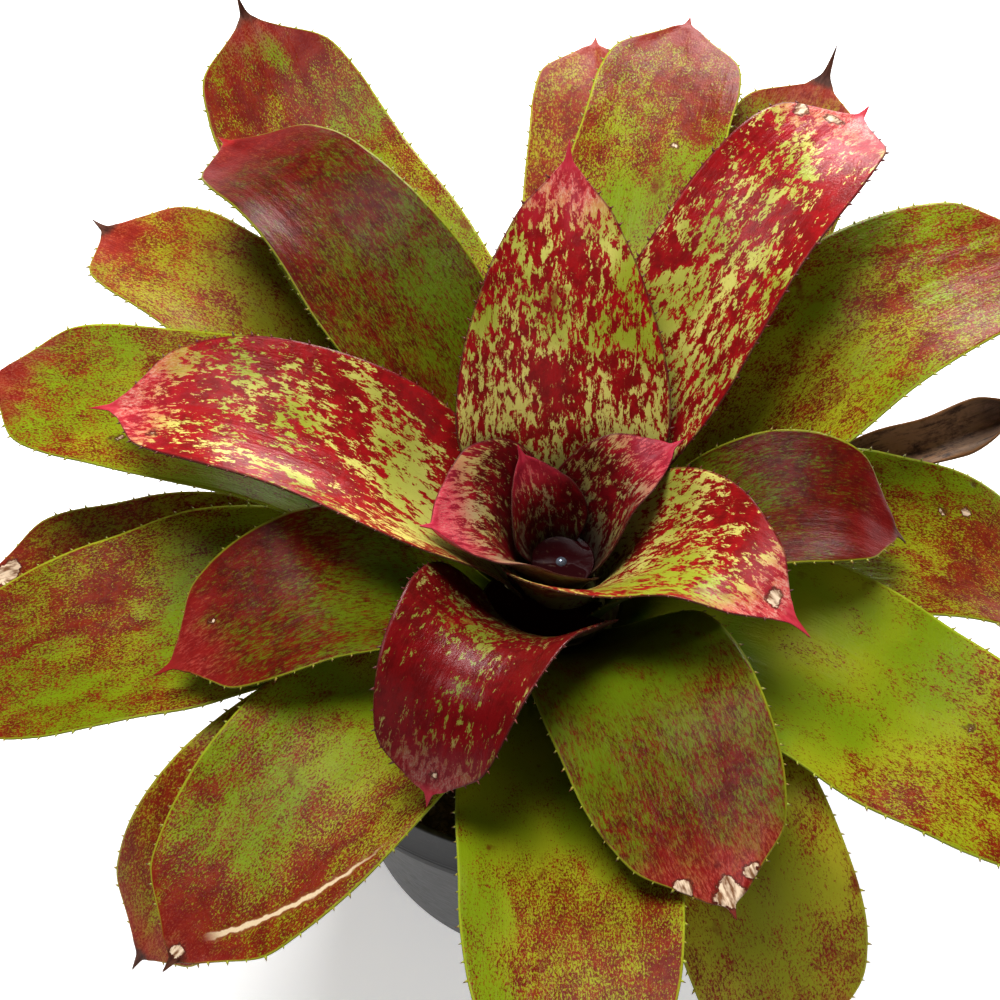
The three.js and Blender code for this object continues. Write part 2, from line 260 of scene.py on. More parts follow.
MiddleLook = leaf_look(
    "MiddleLook",
    text="The dark red-brown leaves round the heart.",
    ground=(0.115, 0.155, 0.004),
    cream=(0.14, 0.16, 0.005),
    base=(0.135, 0.235, 0.003),
    mark=(0.155, 0.007, 0.004),
    mark_dark=(0.085, 0.005, 0.003),
    tip=(0.36, 0.022, 0.022),
    margin=(0.26, 0.30, 0.02),
    grain=0.24 * MM,
    stretch=3.2,
    near=0.12,
    far=0.84,
    patchy=0.42,
    crisp=0.35,
    flush=0.10,
    scars=0.08,
    gloss=0.32,
    sheen=0.08,
    pale=0.3,
)
OuterLook = leaf_look(
    "OuterLook",
    text="The broad yellow-green outer leaves.",
    ground=(0.180, 0.245, 0.004),
    cream=(0.28, 0.295, 0.010),
    base=(0.110, 0.245, 0.002),
    mark=(0.205, 0.018, 0.005),
    mark_dark=(0.135, 0.007, 0.004),
    tip=(0.24, 0.014, 0.010),
    margin=(0.36, 0.42, 0.03),
    grain=0.24 * MM,
    stretch=1.7,
    near=0.06,
    far=0.66,
    patchy=0.50,
    crisp=0.75,
    flush=0.06,
    scars=0.12,
    gloss=0.34,
    sheen=0.10,
    pale=0.2,
)
LowLook = leaf_look(
    "LowLook",
    text="The oldest leaves, flushed orange-red.",
    ground=(0.24, 0.24, 0.007),
    cream=(0.33, 0.30, 0.014),
    base=(0.17, 0.27, 0.005),
    mark=(0.23, 0.018, 0.006),
    mark_dark=(0.16, 0.010, 0.006),
    tip=(0.30, 0.024, 0.012),
    margin=(0.40, 0.40, 0.04),
    grain=0.28 * MM,
    stretch=1.7,
    near=0.20,
    far=0.66,
    patchy=0.46,
    crisp=0.65,
    flush=0.06,
    scars=0.2,
    gloss=0.44,
    sheen=0.14,
    pale=0.2,
)
DriedLook = leaf_look(
    "DriedLook",
    text="The dead leaf behind the rosette.",
    ground=(0.30, 0.165, 0.085),
    cream=(0.16, 0.10, 0.06),
    base=(0.22, 0.12, 0.06),
    mark=(0.12, 0.060, 0.034),
    mark_dark=(0.045, 0.022, 0.013),
    tip=(0.10, 0.055, 0.035),
    margin=(0.36, 0.16, 0.05),
    grain=1.1 * MM,
    stretch=9.0,
    near=0.5,
    far=0.5,
    patchy=0.5,
    crisp=0.3,
    flush=0.1,
    scars=0.0,
    gloss=0.62,
    sheen=0.25,
    pale=0.2,
)


class StageSettings(bpy.types.PropertyGroup):
    """The floor, lights and camera."""

    camera_place: FloatVectorProperty(
        name="Camera place",
        description="Where the camera stands",
        default=(-0.0150, -0.3652, 0.6529),
        size=3,
        unit="LENGTH",
    )
    camera_tilt: FloatProperty(
        name="Camera tilt",
        description="How far the camera is raised from looking straight down",
        default=math.radians(35.5),
        unit="ROTATION",
    )
    lens: number("Lens", "Focal length in millimetres on a 36 mm sensor", 93.6)
    floor: length("Floor", "Width of the floor", 6.0, high=50.0)
    key: number("Key light", "Power of the main softbox in watts", 25)
    back: number("Back light", "Power of the softbox behind the plant in watts", 24)
    fill: number("Fill light", "Power of the front fill in watts", 6)
    sky: number("Sky", "Brightness of the surroundings", 0.10)
    floor_colour: colour("Floor colour", "Colour of the floor", (0.92, 0.92, 0.93))
    exposure: number("Exposure", "Brightness of the picture in stops", 0.12, low=-5.0)
    gamma: number("Gamma", "Gamma of the picture", 0.88, high=3.0)
    floor_glow: number("Floor glow", "Light that comes through the floor", 0.45)


# ---- colours that all kinds of leaf share ----
# whitish pink of the streaks at a blade's end: partly the leaf's own pale flush, partly a painted highlight
PALE_STREAK_AND_HIGHLIGHT = (0.60, 0.30, 0.25)
WITHERED_DARK, WITHERED_LIGHT = (0.030, 0.012, 0.008), (0.11, 0.045, 0.028)
SILVER_SCALE = (0.30, 0.30, 0.18)
SCAR_RIM, SCAR_HEART = (0.07, 0.010, 0.006), (0.50, 0.34, 0.17)
CRACK_RIM, CRACK_FLESH = (0.22, 0.07, 0.02), (0.66, 0.52, 0.33)
TORN_RIM = (0.07, 0.016, 0.008)
PARCHED_DARK, PARCHED_LIGHT = (0.20, 0.09, 0.04), (0.72, 0.56, 0.40)
SPINE_POINT, HEART_SPINE_POINT = (0.05, 0.012, 0.008), (0.03, 0.008, 0.006)


# ---- shader nodes ----
class Tree:
    """A node tree, with a short way to add nodes and to set or join their inputs."""

    def feed(self, socket, value):
        if isinstance(value, bpy.types.NodeSocket):
            self.tree.links.new(value, socket)
        elif socket.type == "RGBA" and len(value) == 3:
            socket.default_value = (*value, 1.0)
        else:
            socket.default_value = value

    def node(self, kind, inputs=(), **settings):
        made = self.tree.nodes.new(kind)
        for key, value in settings.items():
            setattr(made, key, value)
        for key, value in dict(inputs).items():
            self.feed(made.inputs[key], value)
        return made


class Shader(Tree):
    """A material's node tree, with short ways to do sums, mix colours and make noise."""

    def __init__(self, name):
        self.material = bpy.data.materials.new(name)
        self.material.use_nodes = True
        self.tree = self.material.node_tree
        self.tree.nodes.clear()
        self.skin = self.node("ShaderNodeBsdfPrincipled")
        self.node("ShaderNodeOutputMaterial", {"Surface": self.skin.outputs[0]})

    def math(self, operation, first, second=0.0):
        inputs = {0: first, 1: second}
        return self.node("ShaderNodeMath", inputs, operation=operation).outputs[0]

    def plus(self, first, second):
        return self.math("ADD", first, second)

    def minus(self, first, second):
        return self.math("SUBTRACT", first, second)

    def times(self, first, second):
        return self.math("MULTIPLY", first, second)

    def sway(self, value, size):
        """A noise value made to swing evenly about zero."""
        return self.times(self.minus(value, 0.5), size)

    def dimmed(self, skin, value):
        return self.node("ShaderNodeHueSaturation", {"Value": value, "Color": skin}).outputs[0]

    def span(self, value, start, end, low=0.0, high=1.0, kind="SMOOTHSTEP"):
        inputs = {"Value": value, "From Min": start, "From Max": end, "To Min": low, "To Max": high}
        return self.node("ShaderNodeMapRange", inputs, interpolation_type=kind).outputs[0]

    def mix(self, factor, first, second):
        inputs = {0: factor, 6: first, 7: second}
        return self.node("ShaderNodeMix", inputs, data_type="RGBA").outputs[2]

    def noise(self, place, scale, detail=2.0, roughness=0.5, distortion=0.0):
        inputs = {
            "Vector": place,
            "Scale": scale,
            "Detail": detail,
            "Roughness": roughness,
            "Distortion": distortion,
        }
        return self.node("ShaderNodeTexNoise", inputs).outputs["Fac"]

    def stretched(self, place, scale):
        inputs = {0: place, 1: scale}
        return self.node("ShaderNodeVectorMath", inputs, operation="MULTIPLY").outputs[0]

    def drawn(self, place, share_along):
        """Places squeezed along the blade, which draws a pattern out lengthwise."""
        return self.stretched(place, (share_along, 1.0, 1.0))

    def parts(self, vector):
        return self.node("ShaderNodeSeparateXYZ", {0: vector}).outputs

    def attribute(self, name):
        return self.node("ShaderNodeAttribute", attribute_name=name).outputs["Vector"]

    def place(self):
        return self.node("ShaderNodeTexCoord").outputs["Object"]

    def bump(self, height, distance, strength=1.0, under=None):
        inputs = {"Height": height, "Distance": distance, "Strength": strength}
        if under is not None:
            inputs["Normal"] = under
        return self.node("ShaderNodeBump", inputs).outputs[0]

    def finish(self, **sockets):
        for key, value in sockets.items():
            self.feed(self.skin.inputs[key.replace("_", " ").title().replace("Ior", "IOR")], value)
        return self.material


def leaf_markings(s, look, place, reach, shift):
    """Markings that run lengthwise, denser towards the end and in patches, and what else follows them."""
    spots = s.noise(s.drawn(place, 1 / look.stretch), 0.55 * MM / look.grain * 1000, 6.0, 0.66, 0.35)
    fine = s.noise(s.drawn(place, 0.45), 1.9 * MM / look.grain * 1000, 3.0, 0.65)
    spots = s.plus(s.times(spots, 0.68), s.times(fine, 0.32))
    patches = s.noise(s.drawn(place, 0.6), 120.0, 4.0, 0.6, 0.6)
    drift = s.noise(s.drawn(place, 0.8), 34.0, 2.0, 0.5)
    cover = s.plus(s.span(reach, 0.15, 0.95, look.near, look.far, "LINEAR"), shift)
    cover = s.plus(cover, s.sway(patches, look.patchy * 2.6))
    cover = s.plus(cover, s.sway(drift, look.patchy * 1.8))
    ragged = s.plus(reach, s.sway(patches, 0.22))
    flushed = s.span(ragged, 1.0 - look.flush * 1.8, 1.0 - look.flush * 0.3)
    # fewer markings under the pale streaks at the end, which are partly a painted highlight
    cover = s.minus(cover, s.times(flushed, 0.45 * look.pale))
    soft = 0.12 - 0.105 * look.crisp
    limit = s.span(cover, 0.0, 1.0, 0.64, 0.37, "LINEAR")
    marked = s.span(s.minus(spots, limit), -soft, soft)
    return marked, flushed, drift, fine


def leaf_scars(s, place, share_scarred):
    """The dark rims and the dry middles of small scars."""
    cells = s.node("ShaderNodeTexVoronoi", {"Vector": place, "Scale": 52.0, "Randomness": 1.0})
    chance = s.parts(cells.outputs["Color"])[0]
    near = s.plus(cells.outputs["Distance"], s.times(s.noise(place, 700.0, 3.0), 0.06))
    chosen = s.math("LESS_THAN", chance, share_scarred)
    halo = s.times(s.span(near, 0.065, 0.12, 1.0, 0.0), chosen)
    heart = s.times(s.span(near, 0.052, 0.064, 1.0, 0.0), chosen)
    return halo, heart


def leaf_cracks(s, place, off, run):
    """The brown rim and the pale flesh of a long crack, which narrows towards its far end."""
    off = s.math("ABSOLUTE", s.plus(off, s.sway(s.noise(place, 330.0, 3.0), 2.2 * MM)))
    in_run = s.times(s.span(run, 0.0, 0.12), s.span(run, 0.7, 1.0, 1.0, 0.0))
    thin = s.plus(off, s.span(run, 0.0, 1.0, 0.0, 0.5 * MM, "LINEAR"))
    rim = s.times(s.span(thin, 0.9 * MM, 1.9 * MM, 1.0, 0.0), in_run)
    flesh = s.times(s.span(thin, 0.55 * MM, 0.95 * MM, 1.0, 0.0), in_run)
    return rim, flesh


def leaf_finish(name, look, sheath_dark=0.35, sheath_end=0.16):
    """Waxy leaf skin: fine markings over a green ground, a flushed end, pale margins and small dry scars."""
    s = Shader(name)
    place = s.attribute("lay")
    reach, edge, face = s.parts(s.attribute("zone"))
    crack_off, crack_run, dry = s.parts(s.attribute("hurt"))
    past_end, dryness, shift = s.parts(s.attribute("own"))
    marked, flushed, drift, fine = leaf_markings(s, look, place, reach, shift)
    mottle = s.noise(place, 260.0, 3.0, 0.6)
    streaks = s.noise(s.drawn(place, 0.3), 900.0, 3.0)

    # ground colour from the stem outwards, turning to the end's colour, with the markings over it
    ground = s.mix(s.span(reach, 0.12, 0.62), look.base, look.ground)
    ground = s.mix(s.span(drift, 0.38, 0.62), ground, look.cream)
    # pale streaks at the end: partly the leaf's own pale flush, partly a painted highlight
    pale = s.span(fine, 0.44, 0.58, 0.0, look.pale)
    ground = s.mix(s.times(flushed, 0.92), ground, s.mix(pale, look.tip, PALE_STREAK_AND_HIGHLIGHT))
    deep = s.math("MAXIMUM", s.span(mottle, 0.35, 0.65), s.span(shift, 0.05, 0.3, 0.0, 0.8))
    mark = s.mix(deep, look.mark, look.mark_dark)
    mark = s.mix(s.times(flushed, 0.35), mark, look.tip)
    skin = s.mix(s.times(marked, 0.99), ground, mark)

    # the most marked leaves are darker all over, partly their own deeper colour and partly painted shade, and
    # the sheath is darkened towards the stem as painted shade
    skin = s.dimmed(skin, s.span(shift, 0.12, 0.16, 1.0, 0.52))
    # painted shade: the leaf base is darkened towards the stem, and on the cup leaves down towards the water
    skin = s.dimmed(skin, s.span(reach, sheath_end * 0.25, sheath_end, sheath_dark, 1.0))

    # margins and the end spike, which is dry and dark on some leaves
    wander = s.times(s.noise(place, 140.0, 2.0), 0.5 * MM)
    rim = s.span(s.minus(edge, wander), 0.0, 0.4 * MM, 0.7, 0.0)
    rim = s.times(rim, s.span(past_end, -6 * MM, 0.0, 1.0, 0.2))
    skin = s.mix(rim, skin, look.margin)
    withered = s.mix(s.span(streaks, 0.3, 0.7), WITHERED_DARK, WITHERED_LIGHT)
    fresh = s.mix(s.span(streaks, 0.3, 0.7, 0.0, 0.5), look.tip, look.mark)
    spike = s.mix(dryness, fresh, withered)
    wavering = s.plus(past_end, s.sway(mottle, 4 * MM))
    skin = s.mix(s.span(wavering, -0.6 * MM, 2.2 * MM, 0.0, 0.92), skin, spike)

    # the underside is duller, with silvery scales in fine cross bands
    bands = s.noise(s.stretched(place, (1.0, 0.25, 1.0)), 420.0, 2.0)
    under = s.mix(s.span(bands, 0.4, 0.7, 0.08, 0.3), skin, SILVER_SCALE)
    skin = s.mix(face, under, skin)

    # scars, bruises, cracks and dried patches
    halo, heart = leaf_scars(s, place, look.scars)
    skin = s.mix(s.times(halo, 0.75), skin, SCAR_RIM)
    skin = s.mix(heart, skin, SCAR_HEART)
    bruise = s.noise(s.drawn(place, 0.8), 88.0, 4.0, 0.65)
    skin = s.mix(s.span(bruise, 0.62, 0.72, 0.0, 0.7), skin, look.mark_dark)
    crack_edge, crack_core = leaf_cracks(s, place, crack_off, crack_run)
    skin = s.mix(s.times(crack_edge, 0.8), skin, CRACK_RIM)
    skin = s.mix(crack_core, skin, CRACK_FLESH)
    torn = s.plus(dry, s.sway(s.noise(place, 260.0, 5.0, 0.65), 7 * MM))
    torn_core = s.span(torn, -0.25 * MM, 0.1 * MM, 1.0, 0.0)
    skin = s.mix(s.times(s.span(torn, 0.1 * MM, 1.0 * MM, 1.0, 0.0), 0.85), skin, TORN_RIM)
    skin = s.mix(torn_core, skin, s.mix(s.span(streaks, 0.35, 0.62), PARCHED_DARK, PARCHED_LIGHT))

    # skin relief: lengthwise ribs, a waxy grain and shallow swellings
    ribs = s.noise(s.drawn(place, 0.05), 620.0, 2.0)
    grain = s.noise(s.drawn(place, 0.6), 1900.0, 2.0, 0.6)
    swell = s.noise(s.drawn(place, 0.6), 130.0, 3.0)
    relief = s.bump(swell, 0.8 * MM, 0.6)
    relief = s.bump(ribs, 0.2 * MM, 0.8, relief)
    relief = s.bump(grain, 0.11 * MM, 0.9, relief)
    relief = s.bump(s.times(s.math("MAXIMUM", halo, crack_edge), -1.0), 0.2 * MM, 0.8, relief)
    rough = s.plus(look.gloss - 0.08, s.times(grain, 0.2))
    rough = s.plus(rough, s.times(s.math("MAXIMUM", torn_core, heart), 0.3))
    return s.finish(base_color=skin, roughness=rough, normal=relief, ior=1.45, specular_ior_level=look.sheen)


def spine_finish(name, foot, point):
    """Horny spines, green at the foot and dark at the point."""
    s = Shader(name)
    rise = s.parts(s.attribute("rise"))[0]
    skin = s.mix(s.span(rise, 0.25, 0.8), foot, point)
    skin = s.mix(s.span(s.noise(s.place(), 900.0), 0.35, 0.7, 0.0, 0.4), skin, (0.30, 0.06, 0.02))
    grain = s.noise(s.place(), 2500.0)
    return s.finish(base_color=skin, roughness=s.span(grain, 0, 1, 0.4, 0.6), normal=s.bump(grain, 0.03 * MM))


def plastic_finish(name, tone, dust, scratch_scale, sheen):
    """Moulded plastic with a fine grain, turning marks, scuffs and a little dust."""
    s = Shader(name)
    place = s.place()
    x, y, z = s.parts(place)
    turn = s.math("ARCTAN2", y, x)
    ring = s.node("ShaderNodeCombineXYZ", {0: s.times(turn, 0.012), 1: 0.0, 2: z}).outputs[0]
    marks = s.noise(ring, scratch_scale, 4.0, 0.7)
    grain = s.noise(place, 2600.0, 2.0)
    clouds = s.noise(place, 38.0, 4.0, 0.6)
    spots = s.noise(place, 420.0, 3.0, 0.7)
    dusty = s.times(s.span(clouds, 0.48, 0.78), s.span(spots, 0.45, 0.75))
    skin = s.mix(s.span(marks, 0.35, 0.75, 0.0, 0.35), tone, s.mix(0.35, tone, dust))
    skin = s.mix(s.times(dusty, 0.35), skin, dust)
    rough = s.plus(s.span(marks, 0.3, 0.7, sheen, sheen + 0.12), s.times(dusty, 0.2))
    relief = s.bump(clouds, 0.4 * MM, 0.25)
    relief = s.bump(marks, 0.05 * MM, 0.6, relief)
    relief = s.bump(grain, 0.03 * MM, 0.8, relief)
    return s.finish(base_color=skin, roughness=rough, normal=relief)


def bark_finish(name, look, scale):
    """Damp bark and peat, fibrous and uneven in colour."""
    s = Shader(name)
    place = s.place()
    fibres = s.noise(s.stretched(place, (1.0, 1.0, 3.0)), scale * 2.2, 4.0, 0.65, 0.6)
    clumps = s.noise(place, scale * 0.35, 3.0, 0.6)
    skin = s.mix(s.span(fibres, 0.3, 0.72), look.dark, look.light)
    skin = s.mix(s.span(clumps, 0.4, 0.7, 0.0, 0.7), skin, look.dark)
    skin = s.mix(s.span(s.noise(place, scale * 6, 2.0), 0.68, 0.74, 0.0, 0.7), skin, (0.30, 0.20, 0.12))
    relief = s.bump(clumps, 0.6 * MM, 0.8)
    relief = s.bump(fibres, 0.3 * MM, 0.9, relief)
    return s.finish(base_color=skin, roughness=s.span(fibres, 0.2, 0.8, 0.95, 0.7), normal=relief)


def stem_finish(name):
    """The short stem, pale where leaf bases hug it, with papery brown scars."""
    s = Shader(name)
    place = s.place()
    rings = s.noise(s.stretched(place, (0.2, 0.2, 1.0)), 700.0, 3.0, 0.6)
    skin = s.mix(s.span(rings, 0.35, 0.65), (0.16, 0.17, 0.035), (0.10, 0.045, 0.02))
    relief = s.bump(rings, 0.4 * MM, 0.9)
    return s.finish(base_color=skin, roughness=s.span(rings, 0.2, 0.8, 0.55, 0.85), normal=relief)


def water_finish(name, look):
    """Still, tannin-stained water."""
    s = Shader(name)
    motes = s.noise(s.place(), 700.0, 3.0, 0.6)
    skin = s.mix(s.span(motes, 0.62, 0.7, 0.0, 0.6), look.shade_tint, (0.06, 0.03, 0.015))
    relief = s.bump(s.noise(s.place(), 110.0, 1.0), 0.15 * MM, 0.25)
    rough = s.span(motes, 0.6, 0.75, 0.03, 0.2)
    return s.finish(base_color=skin, roughness=rough, normal=relief, ior=1.33)


def bubble_finish(name, tone):
    """The silvery skin of an air bubble."""
    s = Shader(name)
    sheen = s.noise(s.place(), 900.0, 2.0)
    # darker patches on the bubble: painted reflection
    skin = s.mix(s.span(sheen, 0.4, 0.6, 0.0, 0.5), tone, (0.05, 0.05, 0.06))
    relief = s.bump(sheen, 0.02 * MM, 0.3)
    return s.finish(base_color=skin, roughness=0.08, normal=relief, metallic=0.6)


def floor_finish(name, tone, glow):
    """A matt pale sweep, lit a little from below as a light table is."""
    s = Shader(name)
    grain = s.noise(s.place(), 40.0, 3.0)
    skin = s.mix(s.span(grain, 0.3, 0.7, 0.0, 0.04), tone, (0.7, 0.7, 0.72))
    relief = s.bump(grain, 0.2 * MM, 0.05)
    lit = {"emission_color": tone, "emission_strength": glow}
    return s.finish(base_color=skin, roughness=0.6, normal=relief, **lit)


# ---- meshes ----
def new_piece(name, mesh, material, slot, *nodes):
    """Puts a mesh in the scene as a piece that rides on the plant's one body."""
    piece = bpy.data.objects.new(name, mesh)
    bpy.context.scene.collection.objects.link(piece)
    if material is not None and not mesh.materials:
        mesh.materials.append(material)
    mesh.shade_smooth()
    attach(piece, BODY)
    if nodes:
        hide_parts(*nodes)
    return piece


def as_mesh(made, name):
    """A mesh of a bmesh, which is freed."""
    mesh = bpy.data.meshes.new(name)
    made.to_mesh(mesh)
    made.free()
    return mesh


def join_rings(made, low, high):
    """Faces between two rings with as many corners."""
    for i in range(len(low)):
        j = (i + 1) % len(low)
        made.faces.new((low[i], high[i], high[j], low[j]))


def merged(node):
    """A mesh copy of a solid with its loose triangles joined."""
    copy = bmesh.new()
    copy.from_mesh(NODES[node].data)
    bmesh.ops.remove_doubles(copy, verts=copy.verts, dist=SEAM)
    return copy


def turned(name, profile, segments):
    """A lathe mesh about +Z. The profile is [radius, height] pairs, anticlockwise, ending on the axis."""
    made = bmesh.new()
    rings = []
    for radius, height in profile:
        if radius < SEAM:
            rings.append([made.verts.new((0, 0, height))])
            continue
        turns = [2 * math.pi * i / segments for i in range(segments)]
        rings.append([made.verts.new((radius * math.cos(a), radius * math.sin(a), height)) for a in turns])
    for low, high in zip(rings, rings[1:]):
        for i in range(segments):
            j = (i + 1) % segments
            if len(low) == 1:
                made.faces.new((low[0], high[j], high[i]))
            elif len(high) == 1:
                made.faces.new((low[i], low[j], high[0]))
            else:
                made.faces.new((low[i], low[j], high[j], high[i]))
    bmesh.ops.recalc_face_normals(made, faces=made.faces)
    return as_mesh(made, name)


def rounded(before, corner, after, radius, steps=4):
    """The points of a rounded corner of a profile."""
    before, corner, after = (Vector(p) for p in (before, corner, after))
    start = corner + (before - corner).normalized() * radius
    end = corner + (after - corner).normalized() * radius
    turns = [k / steps for k in range(steps + 1)]
    return [tuple(start.lerp(corner, turn).lerp(corner.lerp(end, turn), turn)) for turn in turns]


def evaluated(piece):
    """A plain mesh of a piece with its modifiers applied."""
    graph = bpy.context.evaluated_depsgraph_get()
    return bpy.data.meshes.new_from_object(piece.evaluated_get(graph))


# ---- the leaf surface ----
RING = 10  # corners round one station of a leaf's solid: five above, five below
UPPER = RING // 2
SPIKE_ROWS = 12  # rows of faces in the end spike
ROW_CROWDING = 1.4  # above 1, rows lie closer together towards the end
MARGIN_CROWDING = math.pi / 2 * 0.86  # the wider this angle, the closer columns lie at the margins
MARGIN_THINNING = 0.62  # share of the thickness that a blade loses at its margins
POINT_THICKNESS = 0.35  # share of the thickness that is left at the spike's point
WAVES_START, WAVES_GROW = 0.25, 0.3  # the share of the blade with no waves, and over which they grow
WAVES_PER_METRE = 42
LAY_STEP = 0.37  # keeps each leaf's pattern apart from the others'
LAY_UNDER = 0.19  # keeps a leaf's underside apart from its upper side


def ordered_rings(solid):
    """The rings of corners along a leaf's solid, base first, each in order round the leaf, and its tip."""
    tip = max(solid.verts, key=lambda v: len(v.link_edges))
    following = {}
    for face in tip.link_faces:
        corners = list(face.verts)
        at = corners.index(tip)
        following[corners[at - 1]] = corners[(at + 1) % 3]
    ring = [next(iter(following))]
    while len(ring) < RING:
        ring.append(following[ring[-1]])
    seen = {tip, *ring}
    rings = [ring]
    while True:
        inner = []
        for first, second in zip(ring, ring[1:] + ring[:1]):
            around = [{e.other_vert(v) for e in v.link_edges} - seen for v in (first, second)]
            inner.extend(around[0] & around[1])
        if len(inner) != RING:
            break
        ring = inner
        seen.update(ring)
        rings.append(ring)
    return [[v.co.copy() for v in r] for r in reversed(rings)], tip.co.copy()


def leaf_stations(node):
    """Mid-surface points [station, across, xyz], half thicknesses [station, across] and the tip of a leaf."""
    solid = merged(node)
    rings, tip = ordered_rings(solid)
    solid.free()
    middle = rings[len(rings) // 2]
    sides = [(middle[i] - middle[(i + 1) % RING]).length for i in range(RING)]
    start = (min(range(RING), key=lambda i: sides[i] + sides[(i + UPPER) % RING]) + 1) % RING
    grid = np.array([[list(p) for p in r[start:] + r[:start]] for r in rings])
    top, under = grid[:, :UPPER], grid[:, UPPER:][:, ::-1]
    if (top[-1, 2] - under[-1, 2])[2] < 0:
        top, under = under[:, ::-1], top[:, ::-1]
    return (top + under) / 2, np.linalg.norm(top - under, axis=2) / 2, np.array(tip)


def spline(knots, values, where):
    """Smooth values at new places, through the given knots, which rise."""
    knots, values, where = np.asarray(knots), np.asarray(values), np.asarray(where)
    rise = np.diff(values, axis=0) / np.diff(knots).reshape(-1, *([1] * (values.ndim - 1)))
    slope = np.empty_like(values)
    slope[0], slope[-1] = rise[0], rise[-1]
    gaps = np.diff(knots)
    for i in range(1, len(knots) - 1):
        before, after = gaps[i - 1], gaps[i]
        slope[i] = (rise[i - 1] * after + rise[i] * before) / (before + after)
    at = np.clip(np.searchsorted(knots, where, side="right") - 1, 0, len(knots) - 2)
    gap = gaps[at]
    shape = (-1, *([1] * (values.ndim - 1)))
    t = ((where - knots[at]) / gap).reshape(shape)
    gap = gap.reshape(shape)
    return (
        values[at] * (2 * t**3 - 3 * t**2 + 1)
        + slope[at] * gap * (t**3 - 2 * t**2 + t)
        + values[at + 1] * (3 * t**2 - 2 * t**3)
        + slope[at + 1] * gap * (t**3 - t**2)
    )


